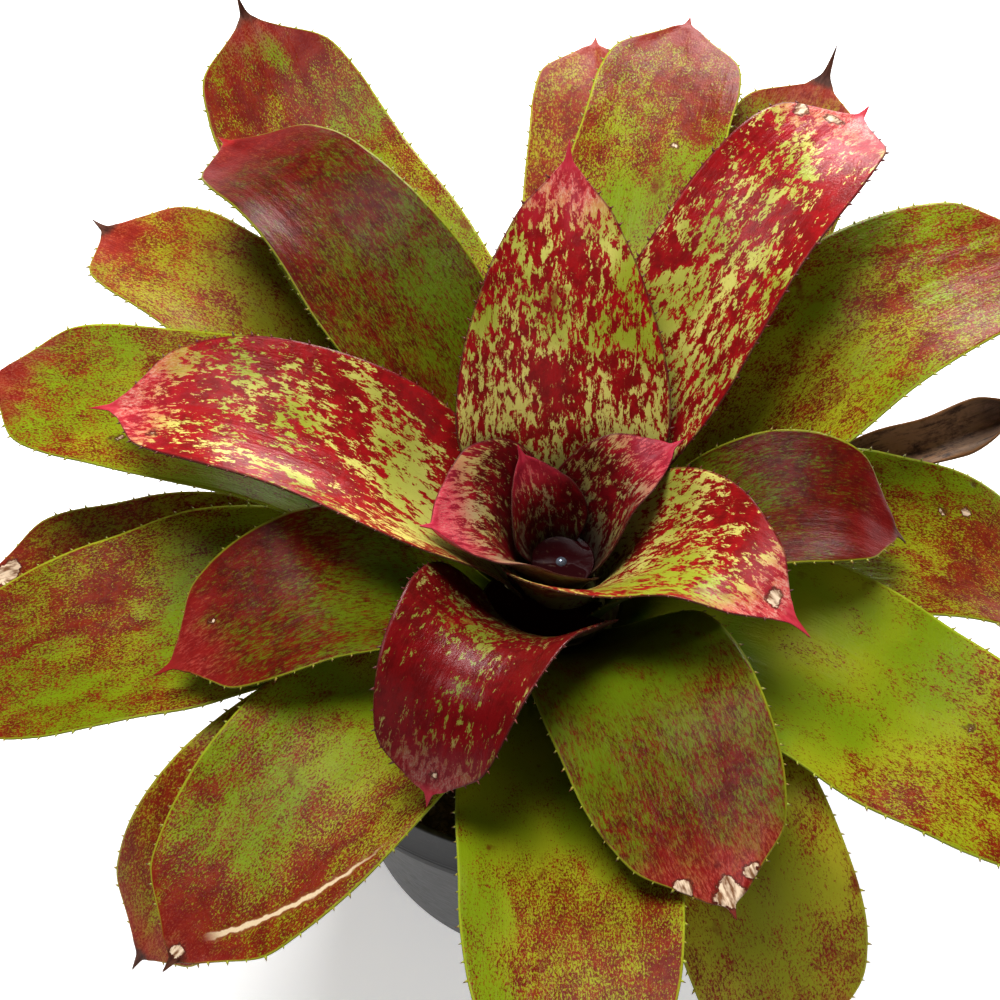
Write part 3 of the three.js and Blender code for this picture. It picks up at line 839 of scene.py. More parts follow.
class LeafShape:
    """The fine surface of one leaf, worked out from its solid."""

    def __init__(self, node, blade, details):
        centre, thick, tip = leaf_stations(node)
        self.node = node
        self.blade = blade
        self.details = details
        self.seed = float(sorted(NODES).index(node))
        middle = centre[:, 2]
        self.tip = tip
        self.hook = details.get("hook", 0.0)
        self.middle = np.vstack([middle, tip])
        runs = np.linalg.norm(np.diff(self.middle, axis=0), axis=1)
        self.along = np.concatenate([[0], np.cumsum(runs)])
        self.whole = self.along[-1]
        self.spike = blade.spike * details.get("spike", 1.0)
        self.length = self.whole - self.spike
        self.arc = np.linalg.norm(np.diff(centre, axis=1), axis=2).sum(axis=1) / 2
        self.offsets = (centre - middle[:, None]) / self.arc[:, None, None]
        self.thick = thick

    def rows(self):
        """Where the rows of the fine surface lie, as a share of the blade: closer together near the end."""
        steps = np.linspace(1.0, 0.0, self.blade.rows + 1)[:-1]
        spike = np.linspace(0, self.spike, SPIKE_ROWS + 1)[:-1] / self.length
        return np.concatenate([1 - steps**ROW_CROWDING, 1 + spike])

    def half_width(self, rows):
        """Half the blade's width at each row, narrowing through an S curve into the end spike."""
        last = self.whole - self.along[-2]
        shares = np.array([1.0, 0.7, 0.35, 0.0])
        knots = np.append(self.along[:-2], self.whole - shares * last)
        values = np.append(self.arc[:-1], self.blade.spike_base * shares**1.25 + 0.08 * MM)
        back = self.whole - rows * self.length
        eased = back - (self.spike - last) * np.exp(-np.maximum(back - self.spike, 0) / (12 * MM))
        inner = np.where(back < self.spike, back * last / self.spike, eased)
        wobble = [noise.noise(Vector((row * self.length * 30, 4.1, self.seed))) for row in rows]
        inside = np.clip((rows - 0.25) * 5, 0, 1) * np.clip(back / (20 * MM), 0, 1)
        reach = np.minimum(self.blade.rounding, inner * 0.8)
        around = [spline(knots, values, self.whole - inner + reach * k) for k in (-1, -0.5, 0, 0.5, 1)]
        return np.mean(around, axis=0) * (1 + 0.05 * np.array(wobble) * inside)

    def surface(self):
        """Mid-surface points, half thicknesses and half widths of the fine surface."""
        rows = self.rows()
        reached = rows * self.length
        beyond = np.maximum(reached - self.length, 0.0)
        middle = spline(self.along, self.middle, reached)
        middle[:, 2] += self.hook * (beyond / self.spike) ** 2
        width = self.half_width(rows)
        even = np.linspace(-1, 1, self.blade.columns + 1)
        across = np.sin(even * MARGIN_CROWDING) / math.sin(MARGIN_CROWDING)
        own = np.linspace(-1, 1, UPPER)
        inside = np.minimum(reached, self.along[-2])
        offsets = spline(self.along[:-1], self.offsets, inside)
        offsets = np.swapaxes(spline(own, np.swapaxes(offsets, 0, 1), across), 0, 1)
        points = middle[:, None] + offsets * width[:, None, None]
        thick = spline(self.along[:-1], self.thick[:, 2], inside)
        body = thick[:, None] * (1 - MARGIN_THINNING * np.abs(across) ** 3)[None]
        taper = np.minimum(1.0, width / (3 * MM))[:, None]
        return rows, across, points, body * (POINT_THICKNESS + (1 - POINT_THICKNESS) * taper), width

    def relieved(self, rows, across, points, normals, width):
        """Adds the groove along the midrib and the gentle waves of the margins."""
        ripple = self.blade.ripple * self.details.get("ripple", 1.0)
        for i, row in enumerate(rows):
            grown = min(1.0, max(0.0, (row - WAVES_START) / WAVES_GROW)) * min(1.0, width[i] / (8 * MM))
            for j, u in enumerate(across):
                place = Vector((row * self.length * WAVES_PER_METRE, u * 1.3, self.seed * 7.3))
                wave = noise.noise(place) * ripple * (0.35 + 1.4 * u * u)
                fold = -self.blade.channel * math.exp(-((u * width[i]) / (1.6 * MM)) ** 2)
                points[i, j] += normals[i, j] * (wave + fold) * grown
        return points

    def hurts(self, rows, across, width):
        """For each point: offset from a crack, share along it, and distance to the nearest dried patch."""
        run = (rows * self.length)[:, None] + 0 * across[None]
        off = across[None] * width[:, None]
        crack_off, crack_run, dry = np.ones_like(run), np.zeros_like(run), np.ones_like(run)
        for (t0, u0), (t1, u1), bow in self.details.get("cracks", []):
            wide = np.interp([t0, t1], rows, width)
            start = np.array([t0 * self.length, u0 * wide[0]])
            line = np.array([t1 * self.length, u1 * wide[1]]) - start
            size = np.linalg.norm(line)
            line /= size
            ahead, aside = run - start[0], off - start[1]
            crack_run = (ahead * line[0] + aside * line[1]) / size
            crack_off = ahead * line[1] - aside * line[0] + bow * (1 - (2 * crack_run - 1) ** 2)
        for t, u, radius in self.details.get("patches", []):
            away = np.hypot(run - t * self.length, off - u * np.interp(t, rows, width))
            dry = np.minimum(dry, away - radius)
        return crack_off, crack_run, dry

    def mesh(self):
        """The closed mesh of the leaf, with its lay, zones and damage as attributes."""
        rows, across, points, thick, width = self.surface()
        run = np.gradient(points, axis=0)
        side = np.gradient(points, axis=1)
        normals = np.cross(run, side)
        normals /= np.linalg.norm(normals, axis=2)[..., None]
        if normals[len(rows) // 2, len(across) // 2] @ np.array([0, 0, 1.0]) < 0:
            normals = -normals
        points = self.relieved(rows, across, points, normals, width)
        hurts = self.hurts(rows, across, width)
        self.margins = [self.margin(rows, points, column) for column in (0, -1)]
        upper, lower = points + normals * thick[..., None], points - normals * thick[..., None]
        tip = self.tip + np.array([0, 0, self.hook])

        n_rows, n_cols = len(rows), len(across)
        vertices = np.concatenate([upper.reshape(-1, 3), lower.reshape(-1, 3), [tip]])
        mesh = bpy.data.meshes.new(self.node)
        mesh.from_pydata(vertices.tolist(), [], self.faces(n_rows, n_cols))
        made = bmesh.new()
        made.from_mesh(mesh)
        bmesh.ops.recalc_face_normals(made, faces=made.faces)
        made.to_mesh(mesh)
        made.free()

        run, off = (rows * self.length)[:, None], across[None] * width[:, None]
        edge = (1 - np.abs(across))[None] * width[:, None]
        step, whole = self.seed * LAY_STEP, self.length + self.spike
        dry, cover = self.details.get("dry_spike", 0.0), self.details.get("cover", 0.0)
        past_end = ((rows - 1) * self.length)[:, None]
        self.store(mesh, "lay", (run, off, step), (run, off, step + LAY_UNDER), (whole, 0, step))
        self.store(mesh, "zone", (rows[:, None], edge, 1), (rows[:, None], edge, 0), (1.05, 0, 1))
        self.store(mesh, "hurt", hurts, hurts, (1, 0, 1))
        self.store(mesh, "own", (past_end, dry, cover), (past_end, dry, cover), (self.spike, dry, cover))
        return mesh

    @staticmethod
    def faces(n_rows, n_cols):
        """The faces of a closed leaf: two sheets of corners, joined round their edges, and the tip last."""
        top = np.arange(n_rows * n_cols).reshape(n_rows, n_cols)
        low = top + n_rows * n_cols
        tip = 2 * n_rows * n_cols
        made = []
        for i in range(n_rows - 1):
            for j in range(n_cols - 1):
                made.append((top[i, j], top[i + 1, j], top[i + 1, j + 1], top[i, j + 1]))
                made.append((low[i, j], low[i, j + 1], low[i + 1, j + 1], low[i + 1, j]))
            made.append((top[i, 0], low[i, 0], low[i + 1, 0], top[i + 1, 0]))
            made.append((top[i, -1], top[i + 1, -1], low[i + 1, -1], low[i, -1]))
        for j in range(n_cols - 1):
            made.append((top[0, j], top[0, j + 1], low[0, j + 1], low[0, j]))
            made.append((top[-1, j], tip, top[-1, j + 1]))
            made.append((low[-1, j + 1], tip, low[-1, j]))
        made.append((top[-1, 0], low[-1, 0], tip))
        made.append((low[-1, -1], top[-1, -1], tip))
        return [tuple(int(k) for k in face) for face in made]

    def store(self, mesh, name, upper, lower, end):
        """Writes three values for every corner: both sheets and then the tip."""
        shape = (self.blade.rows + SPIKE_ROWS, self.blade.columns + 1)
        values = []
        for sheet in (upper, lower):
            values.append(np.stack([np.broadcast_to(part, shape).ravel() for part in sheet], -1))
        values = np.concatenate([*values, [end]]).astype(np.float32)
        layer = mesh.attributes.new(name, "FLOAT_VECTOR", "POINT")
        layer.data.foreach_set("vector", values.ravel())

    def margin(self, rows, points, column):
        """The line of one margin, and the way its spines lean: outwards and a little towards the end."""
        kept = [i for i, row in enumerate(rows) if 0.14 < row < 0.985]
        line = points[kept, column]
        inner = points[kept, 2 if column == 0 else -3]
        out = line - inner
        out /= np.linalg.norm(out, axis=1)[:, None]
        ahead = np.gradient(line, axis=0)
        ahead /= np.linalg.norm(ahead, axis=1)[:, None]
        lean = out + 0.55 * ahead
        return line, lean / np.linalg.norm(lean, axis=1)[:, None]


# ---- geometry nodes ----
class Maker(Tree):
    """A Geometry Nodes tree with named inputs that sets copies of a shape on a mesh."""

    def __init__(self, name, inputs):
        self.tree = bpy.data.node_groups.new(name, "GeometryNodeTree")
        self.tree.interface.new_socket("Geometry", in_out="INPUT", socket_type="NodeSocketGeometry")
        for title, (kind, _) in inputs.items():
            self.tree.interface.new_socket(title, in_out="INPUT", socket_type=kind)
        self.tree.interface.new_socket("Geometry", in_out="OUTPUT", socket_type="NodeSocketGeometry")
        self.start = self.tree.nodes.new("NodeGroupInput")
        self.end = self.tree.nodes.new("NodeGroupOutput")
        self.values = {title: value for title, (_, value) in inputs.items()}

    def __getitem__(self, title):
        return self.start.outputs[title]

    def scatter(self, points, instance, rotation, scale):
        """Ends the tree: a copy on every point, made real and given the material."""
        inputs = {"Points": points, "Instance": instance, "Rotation": rotation, "Scale": scale}
        placed = self.node("GeometryNodeInstanceOnPoints", inputs)
        real = self.node("GeometryNodeRealizeInstances", {0: placed.outputs[0]})
        paint = {"Geometry": real.outputs[0], "Material": self["Material"]}
        painted = self.node("GeometryNodeSetMaterial", paint)
        self.tree.links.new(painted.outputs[0], self.end.inputs[0])

    def run(self, mesh):
        """Applies the tree to a mesh and returns the result as a plain mesh."""
        holder = bpy.data.objects.new("holder", mesh)
        bpy.context.scene.collection.objects.link(holder)
        modifier = holder.modifiers.new("maker", "NODES")
        modifier.node_group = self.tree
        for item in self.tree.interface.items_tree:
            if item.in_out == "INPUT" and item.name in self.values:
                modifier[item.identifier] = self.values[item.name]
        made = evaluated(holder)
        bpy.data.objects.remove(holder)
        return made


def spines_maker(blade, material):
    """Cones set along lines, each leaning the way its line says."""
    m = Maker(
        "margin_spines",
        {
            "Spacing": ("NodeSocketFloat", blade.spine_gap),
            "Length": ("NodeSocketFloat", blade.spine),
            "Foot Radius": ("NodeSocketFloat", blade.spine_width),
            "Seed": ("NodeSocketInt", blade.seed),
            "Material": ("NodeSocketMaterial", material),
        },
    )
    line = m.node("GeometryNodeMeshToCurve", {0: m["Geometry"]})
    spacing = {"Curve": line.outputs[0], "Length": m["Spacing"]}
    spaced = m.node("GeometryNodeResampleCurve", spacing, mode="LENGTH")
    lean = m.node("GeometryNodeInputNamedAttribute", {"Name": "lean"}, data_type="FLOAT_VECTOR")
    shape = {
        "Vertices": 6,
        "Side Segments": 3,
        "Radius Top": 0.02 * MM,
        "Radius Bottom": m["Foot Radius"],
        "Depth": m["Length"],
    }
    cone = m.node("GeometryNodeMeshCone", shape, fill_type="TRIANGLE_FAN")
    place = m.node("GeometryNodeInputPosition")
    height = m.node("ShaderNodeSeparateXYZ", {0: place.outputs[0]})
    rise = m.node("ShaderNodeMath", {0: height.outputs[2], 1: m["Length"]}, operation="DIVIDE")
    stored = {"Geometry": cone.outputs[0], "Name": "rise", "Value": rise.outputs[0]}
    marked = m.node("GeometryNodeStoreNamedAttribute", stored, data_type="FLOAT", domain="POINT")
    turn = m.node("FunctionNodeAlignRotationToVector", {"Vector": lean.outputs[0]}, axis="Z")
    size = m.node("FunctionNodeRandomValue", {2: 0.65, 3: 1.25, "Seed": m["Seed"]}, data_type="FLOAT")
    m.scatter(spaced.outputs[0], marked.outputs[0], turn.outputs[0], size.outputs[1])
    return m


def chips_maker(look, material):
    """Bark chips scattered over a surface."""
    m = Maker(
        "bark_chips",
        {
            "Spacing": ("NodeSocketFloat", look.spacing),
            "Chip Size": ("NodeSocketFloat", look.chip),
            "Seed": ("NodeSocketInt", look.seed),
            "Material": ("NodeSocketMaterial", material),
        },
    )
    spread = {"Mesh": m["Geometry"], "Distance Min": m["Spacing"], "Density Max": 150000.0, "Seed": m["Seed"]}
    points = m.node("GeometryNodeDistributePointsOnFaces", spread, distribute_method="POISSON")
    chip = m.node("GeometryNodeMeshIcoSphere", {"Radius": 0.5, "Subdivisions": 2})
    wobble = m.node("ShaderNodeTexNoise", {"Scale": 1.7, "Detail": 2.0})
    centred = {0: wobble.outputs["Color"], 1: (0.5, 0.5, 0.5)}
    bent = m.node("ShaderNodeVectorMath", centred, operation="SUBTRACT")
    bent = m.node("ShaderNodeVectorMath", {0: bent.outputs[0], "Scale": 0.9}, operation="SCALE")
    chip = m.node("GeometryNodeSetPosition", {"Geometry": chip.outputs[0], "Offset": bent.outputs[0]})
    low = m.node("ShaderNodeCombineXYZ", {0: 0.45, 1: 0.3, 2: 0.14})
    high = m.node("ShaderNodeCombineXYZ", {0: 1.25, 1: 0.75, 2: 0.4})
    between = {0: low.outputs[0], 1: high.outputs[0], "Seed": m["Seed"]}
    sizes = m.node("FunctionNodeRandomValue", between, data_type="FLOAT_VECTOR")
    sizes = m.node("ShaderNodeVectorMath", {0: sizes.outputs[0], "Scale": m["Chip Size"]}, operation="SCALE")
    between = {0: (-0.5, -0.5, 0.0), 1: (0.5, 0.5, 6.28), "Seed": m["Seed"]}
    turns = m.node("FunctionNodeRandomValue", between, data_type="FLOAT_VECTOR")
    m.scatter(points.outputs[0], chip.outputs[0], turns.outputs[0], sizes.outputs[0])
    return m


# ---- what sets single leaves apart ----
# patches: share of the length, share of the half width, radius; cracks: start, end and how far the line bows.
# hook: how far the spike bends up or down by its point; spike, ripple: times the usual length or waves.
# cover: more or fewer markings than usual; dry_spike: how withered the end spike is.
LEAF_DETAILS = {
    "cup_leaf_back": {"cover": 0.03},
    "cup_leaf_left": {"cover": -0.05},
    "cup_leaf_right": {"cover": 0.02},
    "heart_leaf_right": {"cover": -0.03, "patches": [(0.965, 0.2, 1.6 * MM)], "hook": -2 * MM, "spike": 1.5},
    "heart_leaf_back": {"cover": -0.03, "hook": 2 * MM, "spike": 1.2},
    "heart_leaf_left": {"cover": 0.03, "patches": [(0.90, 0.62, 0.9 * MM)], "spike": 1.6},
    "heart_leaf_back_right": {
        "cover": 0.04,
        "patches": [(0.93, 0.8, 2.2 * MM), (0.96, 0.35, 1.5 * MM)],
        "hook": 2 * MM,
        "spike": 1.3,
    },
    "heart_leaf_front": {"cover": 0.16, "hook": -1 * MM, "patches": [(0.97, 0.1, 1.0 * MM)]},
    "middle_leaf_back_left": {"cover": 0.14, "spike": 1.3},
    "middle_leaf_right": {"cover": 0.14, "hook": -3 * MM, "dry_spike": 0.8},
    "middle_leaf_front_left": {
        "cover": 0.1,
        "patches": [(0.9, -0.3, 0.8 * MM)],
        "spike": 1.5,
        "dry_spike": 0.2,
    },
    "middle_leaf_front_right": {
        "cover": -0.08,
        "patches": [(1.0, 0.1, 3.5 * MM), (0.97, 0.75, 1.6 * MM), (0.96, -0.8, 2 * MM)],
        "dry_spike": 0.6,
    },
    "outer_leaf_back": {"cover": 0.1, "patches": [(0.72, -0.3, 1.1 * MM)]},
    "outer_leaf_right_high": {"cover": 0.08, "patches": [(0.90, -0.95, 2.5 * MM), (0.84, -1.0, 1.8 * MM)]},
    "outer_leaf_right": {
        "cover": 0.06,
        "patches": [(0.70, 0.45, 1.3 * MM), (0.76, 0.5, 1.0 * MM), (0.5, -0.1, 0.9 * MM)],
    },
    "outer_leaf_right_low": {"cover": -0.08, "patches": [(0.74, 0.25, 1.3 * MM)]},
    "outer_leaf_left": {"cover": 0.08, "patches": [(0.62, -0.55, 1.1 * MM)]},
    "outer_leaf_left_high": {"cover": 0.0, "patches": [(0.74, 0.55, 1.3 * MM)]},
    "outer_leaf_front": {"cover": -0.08},
    "outer_leaf_front_left": {
        "cover": 0.1,
        "cracks": [((0.96, 0.2), (0.62, 0.93), -3.5 * MM)],
        "patches": [(1.0, 0, 1.8 * MM)],
        "dry_spike": 1.0,
    },
    "outer_leaf_back_left": {"cover": 0.11, "hook": 3 * MM, "spike": 1.4, "dry_spike": 1.0},
    "low_leaf_back_right": {"hook": 5 * MM, "spike": 1.8, "dry_spike": 1.0},
    "low_leaf_left": {"cover": 0.1, "patches": [(0.97, -0.1, 4 * MM)], "dry_spike": 1.0},
    "low_leaf_far_left": {"hook": 2 * MM, "spike": 1.4, "dry_spike": 1.0},
    "low_leaf_front_left": {"spike": 1.3, "dry_spike": 1.0},
    "low_leaf_front_right": {"cover": -0.16},
    "dried_leaf": {"ripple": 4.0, "dry_spike": 1.0},
}


# ---- pieces ----
class BROMELIAD_OT_pot(bpy.types.Operator):
    """Build the plastic pot with its rim band and drainage holes"""

    bl_idname = "bromeliad.pot"
    bl_label = "Pot"

    def execute(self, context):
        look = context.scene.bromeliad_pot
        mesh = turned("pot_body", self.profile(look), look.segments)
        holder = bpy.data.objects.new("holder", mesh)
        cutter = bpy.data.objects.new("cutter", self.cutters(look))
        for made in (holder, cutter):
            context.scene.collection.objects.link(made)
        cut = holder.modifiers.new("drain", "BOOLEAN")
        cut.operation = "DIFFERENCE"
        cut.solver = "EXACT"
        cut.object = cutter
        drilled = evaluated(holder)
        for made in (holder, cutter):
            bpy.data.objects.remove(made)
        drilled.materials.clear()
        for name, tone, scratches, sheen in (
            # the body's lighter colour is painted light from the pale floor
            ("pot_body_plastic", look.lit_body_colour, 900.0, 0.38),
            ("pot_band_plastic", look.band_colour, 1500.0, 0.42),
        ):
            drilled.materials.append(plastic_finish(name, tone, look.dust_colour, scratches, sheen))
        for face in drilled.polygons:
            high = face.center.z > RIM_BOTTOM - 0.3 * MM
            outside = math.hypot(face.center.x, face.center.y) > POT_NECK + 0.2 * MM
            face.material_index = int(high and outside)
        pot = new_piece("pot_shell", drilled, None, "pot_plastic", "pot")
        self.sharpen(pot)
        return {"FINISHED"}

    @staticmethod
    def profile(look):
        """Half the pot's section, from the middle of its underside round to the middle of its floor."""
        wall, lip = look.wall, look.lip
        floor = 1.4 * wall
        band = RIM_BOTTOM + 1.2 * MM
        side = [(POT_BASE, 2 * MM), (POT_NECK, RIM_BOTTOM)]
        corner_low = (POT_RIM, RIM_BOTTOM)
        corner_top = (RIM_TOP, POT_HEIGHT)
        inner_rim = RIM_TOP - wall
        outline = [(0, 0.9 * MM), (POT_BASE - 14 * MM, 0.9 * MM), (POT_BASE - 13 * MM, 0)]
        outline += rounded((POT_BASE - 6 * MM, 0), (POT_BASE - 1 * MM, 0), side[0], 1.6 * MM)
        outline += rounded(side[0], side[1], corner_low, lip)
        outline += rounded(side[1], corner_low, corner_top, lip)
        for step in (1, 2):
            height = band + step * 1.1 * MM
            radius = POT_RIM + (RIM_TOP - POT_RIM) * (height - RIM_BOTTOM) / (POT_HEIGHT - RIM_BOTTOM)
            outline += [
                (radius, height - 0.35 * MM),
                (radius + look.ridge * 0.4, height - 0.15 * MM),
                (radius + look.ridge * 0.4, height + 0.15 * MM),
                (radius, height + 0.35 * MM),
            ]
        outline += rounded(corner_low, corner_top, (inner_rim, POT_HEIGHT), lip)
        outline += rounded(corner_top, (inner_rim, POT_HEIGHT), (inner_rim, RIM_BOTTOM), lip)
        outline += [(inner_rim, RIM_BOTTOM + 2 * wall), (POT_NECK - wall, RIM_BOTTOM)]
        outline += rounded((POT_NECK - wall, RIM_BOTTOM), (POT_BASE - wall, floor), (0, floor), 2 * MM)
        return outline + [(0, floor)]

    @staticmethod
    def cutters(look):
        """Plain drills for the drainage holes."""
        made = bmesh.new()
        for i in range(look.drain_count):
            turn = 2 * math.pi * i / look.drain_count
            across, back = math.cos(turn) * look.drain_circle, math.sin(turn) * look.drain_circle
            bmesh.ops.create_cone(
                made,
                cap_ends=True,
                segments=40,
                radius1=look.drain_radius,
                radius2=look.drain_radius,
                depth=12 * MM,
                matrix=Matrix.Translation((across, back, 0)),
            )
        return as_mesh(made, "drills")

    @staticmethod
    def sharpen(pot):
        """Keeps corners crisp where faces meet at a steep angle."""
        sharp = bmesh.new()
        sharp.from_mesh(pot.data)
        for edge in sharp.edges:
            if len(edge.link_faces) == 2 and edge.calc_face_angle(0.0) > math.radians(32):
                edge.smooth = False
        sharp.to_mesh(pot.data)
        sharp.free()


class BROMELIAD_OT_mix(bpy.types.Operator):
    """Fill the pot with uneven peat and scatter bark chips over it"""

    bl_idname = "bromeliad.mix"
    bl_label = "Potting mix"

    def execute(self, context):
        look = context.scene.bromeliad_mix
        bed = self.bed(look)
        chips = chips_maker(look, bark_finish("bark_chip", look, 260.0)).run(self.top_only(look))
        new_piece("mix_bed", bed, bark_finish("peat", look, 420.0), "bark_mix", "potting_mix")
        new_piece("mix_chips", chips, None, "bark_mix")
        return {"FINISHED"}

    @staticmethod
    def height(look, x, y):
        """The mix's uneven surface, a little higher at the stem and lower at the wall."""
        radius = math.hypot(x, y)
        out = min(1.0, max(0.0, (radius - STEM_RADIUS) / (MIX_EDGE - STEM_RADIUS)))
        crown = MIX_TOP - 0.5 * MM - 3 * MM * out**0.7
        return crown + look.swell * noise.noise(Vector((x * 110, y * 110, 3.1))) - 0.8 * MM

    @classmethod
    def disc(cls, look, radii, segments):
        made = bmesh.new()
        rings = []
        for radius in radii:
            ring = []
            for i in range(segments):
                turn = 2 * math.pi * i / segments
                x, y = radius * math.cos(turn), radius * math.sin(turn)
                ring.append(made.verts.new((x, y, cls.height(look, x, y))))
            rings.append(ring)
        for low, high in zip(rings, rings[1:]):
            join_rings(made, low, high)
        return made, rings

    @classmethod
    def top_only(cls, look):
        """The open surface that the chips lie on."""
        made, _ = cls.disc(look, np.linspace(STEM_RADIUS + 1 * MM, MIX_EDGE - 3 * MM, 24), 72)
        return as_mesh(made, "chip_bed")

    @classmethod
    def bed(cls, look):
        """The closed body of the mix, from its uneven top to the pot's floor."""
        segments = 120
        made, rings = cls.disc(look, np.linspace(STEM_RADIUS * 0.6, MIX_EDGE, 40), segments)
        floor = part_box("potting_mix")[0].z + 0.2 * MM
        foot = []
        for i in range(segments):
            turn = 2 * math.pi * i / segments
            radius = POT_BASE - 4 * MM
            foot.append(made.verts.new((radius * math.cos(turn), radius * math.sin(turn), floor)))
        join_rings(made, rings[-1], foot)
        made.faces.new(list(reversed(foot)))
        made.faces.new(rings[0])
        bmesh.ops.recalc_face_normals(made, faces=made.faces)
        return as_mesh(made, "mix_bed")


class BROMELIAD_OT_stem(bpy.types.Operator):
    """Build the short stem that the leaf bases wrap"""

    bl_idname = "bromeliad.stem"
    bl_label = "Stem"

    def execute(self, context):
        top_radius = radius_at("stem", STEM_TOP - 3 * MM, STEM_TOP)
        shoulder = MIX_TOP + 2 * MM
        profile = [(0, STEM_FOOT), (STEM_RADIUS - 4 * MM, STEM_FOOT), (STEM_RADIUS, STEM_FOOT + 6 * MM)]
        rings = 18
        for k in range(rings + 1):
            share_up = k / rings
            height = shoulder + (STEM_TOP - 2 * MM - shoulder) * share_up
            radius = STEM_RADIUS + (top_radius - STEM_RADIUS) * share_up
            profile.append((radius - (0.25 * MM if k % 2 else 0.0), height))
        profile += [(top_radius - 1.5 * MM, STEM_TOP), (0, STEM_TOP)]
        core = turned("stem_core", profile, 64)
        new_piece("stem_core", core, stem_finish("stem_skin"), "stem_tissue", "stem")
        return {"FINISHED"}


class BROMELIAD_OT_water(bpy.types.Operator):
    """Fill the cup and the front leaf's axil with water"""

    bl_idname = "bromeliad.water"
    bl_label = "Water"

    def execute(self, context):
        look = context.scene.bromeliad_water
        wet = water_finish("stained_water", look)
        walls = self.walls()
        cup = self.pool(walls, look, Vector((0, 0, WATER_LEVEL)), CUP_REACH, CUP_DEPTH)
        bubble = bmesh.new()
        place = Matrix.Translation((0.3 * MM, -0.4 * MM, WATER_LEVEL - 0.35 * look.bubble))
        bmesh.ops.create_uvsphere(bubble, u_segments=32, v_segments=16, radius=look.bubble, matrix=place)
        bubble_glint = bubble_finish("bubble_skin", look.bubble_glint)
        new_piece("cup_bubble", as_mesh(bubble, "bubble"), bubble_glint, "standing_water")
        new_piece("cup_pool", cup, wet, "standing_water", "cup_water")
        low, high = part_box("axil_water")
        middle = Vector(((low.x + high.x) / 2, (low.y + high.y) / 2, AXIL_LEVEL))
        axil = self.pool(walls, look, middle, AXIL_REACH, high.z - low.z)
        new_piece("axil_pool", axil, wet, "standing_water", "axil_water")
        return {"FINISHED"}

    @staticmethod
    def walls():
        """The leaf walls that hold the water, as one tree for rays."""
        made = bmesh.new()
        for kind in ("cup", "heart", "middle"):
            for node in LEAVES[kind]:
                made.from_mesh(NODES[node].data)
        tree = BVHTree.FromBMesh(made)
        made.free()
        return tree

    @staticmethod
    def pool(walls, look, middle, most, deep, segments=96):
        """A body of water that runs out to the walls round its middle, with its edge drawn up."""
        made = bmesh.new()
        shares = (0.35, 0.6, 0.78, 0.9, 0.96, 1.0)
        reaches = []
        for i in range(segments):
            turn = 2 * math.pi * i / segments
            way = Vector((math.cos(turn), math.sin(turn), 0))
            _, _, _, distance = walls.ray_cast(middle - Vector((0, 0, 0.3 * MM)), way, most)
            reaches.append((way, min(most, (distance or most) + look.reach)))
        rings = []
        for part in shares:
            lift = Vector((0, 0, look.meniscus * max(0.0, (part - 0.6) / 0.4) ** 3))
            rings.append([made.verts.new(middle + way * far * part + lift) for way, far in reaches])
        base = [made.verts.new(middle + way * far * 0.6 - Vector((0, 0, deep))) for way, far in reaches]
        centre = made.verts.new(middle)
        for i in range(segments):
            made.faces.new((centre, rings[0][i], rings[0][(i + 1) % segments]))
        for low, high in zip(rings, rings[1:] + [base]):
            join_rings(made, low, high)
        made.faces.new(list(reversed(base)))
        bmesh.ops.recalc_face_normals(made, faces=made.faces)
        return as_mesh(made, "pool")


def grow_leaves(context, kind, spine_point=None, **sheath):
    """Builds every leaf of one kind and, if it is spiny, the spines along their margins."""
    blade = context.scene.bromeliad_blade
    look = getattr(context.scene, "bromeliad_" + kind)
    slot = kind + "_leaf"
    skin = leaf_finish(kind + "_leaf_skin", look, **sheath)
    lines, leans, joins = [], [], []
    for node in LEAVES[kind]:
        leaf = LeafShape(node, blade, LEAF_DETAILS.get(node, {}))
        new_piece(node + "_blade", leaf.mesh(), skin, slot, node)
        for line, lean in leaf.margins:
            first = sum(len(part) for part in lines)
            lines.append(line)
            leans.append(lean)
            joins += [(first + k, first + k + 1) for k in range(len(line) - 1)]
    if spine_point is None:
        return
    mesh = bpy.data.meshes.new(kind + "_margins")
    mesh.from_pydata(np.concatenate(lines).tolist(), joins, [])
    layer = mesh.attributes.new("lean", "FLOAT_VECTOR", "POINT")
    layer.data.foreach_set("vector", np.concatenate(leans).astype(np.float32).ravel())
    horn = spine_finish(kind + "_spine", look.margin, spine_point)
    new_piece(kind + "_spines", spines_maker(blade, horn).run(mesh), None, slot)


class BROMELIAD_OT_heart(bpy.types.Operator):
    """Grow the cup and the crimson and cream leaves round it"""

    bl_idname = "bromeliad.heart"
    bl_label = "Heart leaves"

    def execute(self, context):
        # painted shade inside the cup: the cup leaves darken from their middle down towards the water and the
        # stem
        grow_leaves(context, "cup", sheath_dark=0.12, sheath_end=0.72)
        grow_leaves(context, "heart", HEART_SPINE_POINT)
        return {"FINISHED"}


class BROMELIAD_OT_middle(bpy.types.Operator):
    """Grow the dark red-brown leaves"""

    bl_idname = "bromeliad.middle"
    bl_label = "Middle leaves"

    def execute(self, context):
        grow_leaves(context, "middle", SPINE_POINT)
        return {"FINISHED"}


class BROMELIAD_OT_outer(bpy.types.Operator):
    """Grow the broad yellow-green leaves"""

    bl_idname = "bromeliad.outer"
    bl_label = "Outer leaves"

    def execute(self, context):
        grow_leaves(context, "outer", SPINE_POINT)
        return {"FINISHED"}


class BROMELIAD_OT_low(bpy.types.Operator):
    """Grow the oldest, lowest leaves"""

    bl_idname = "bromeliad.low"
    bl_label = "Lowest leaves"

    def execute(self, context):
        grow_leaves(context, "low", SPINE_POINT)
        return {"FINISHED"}


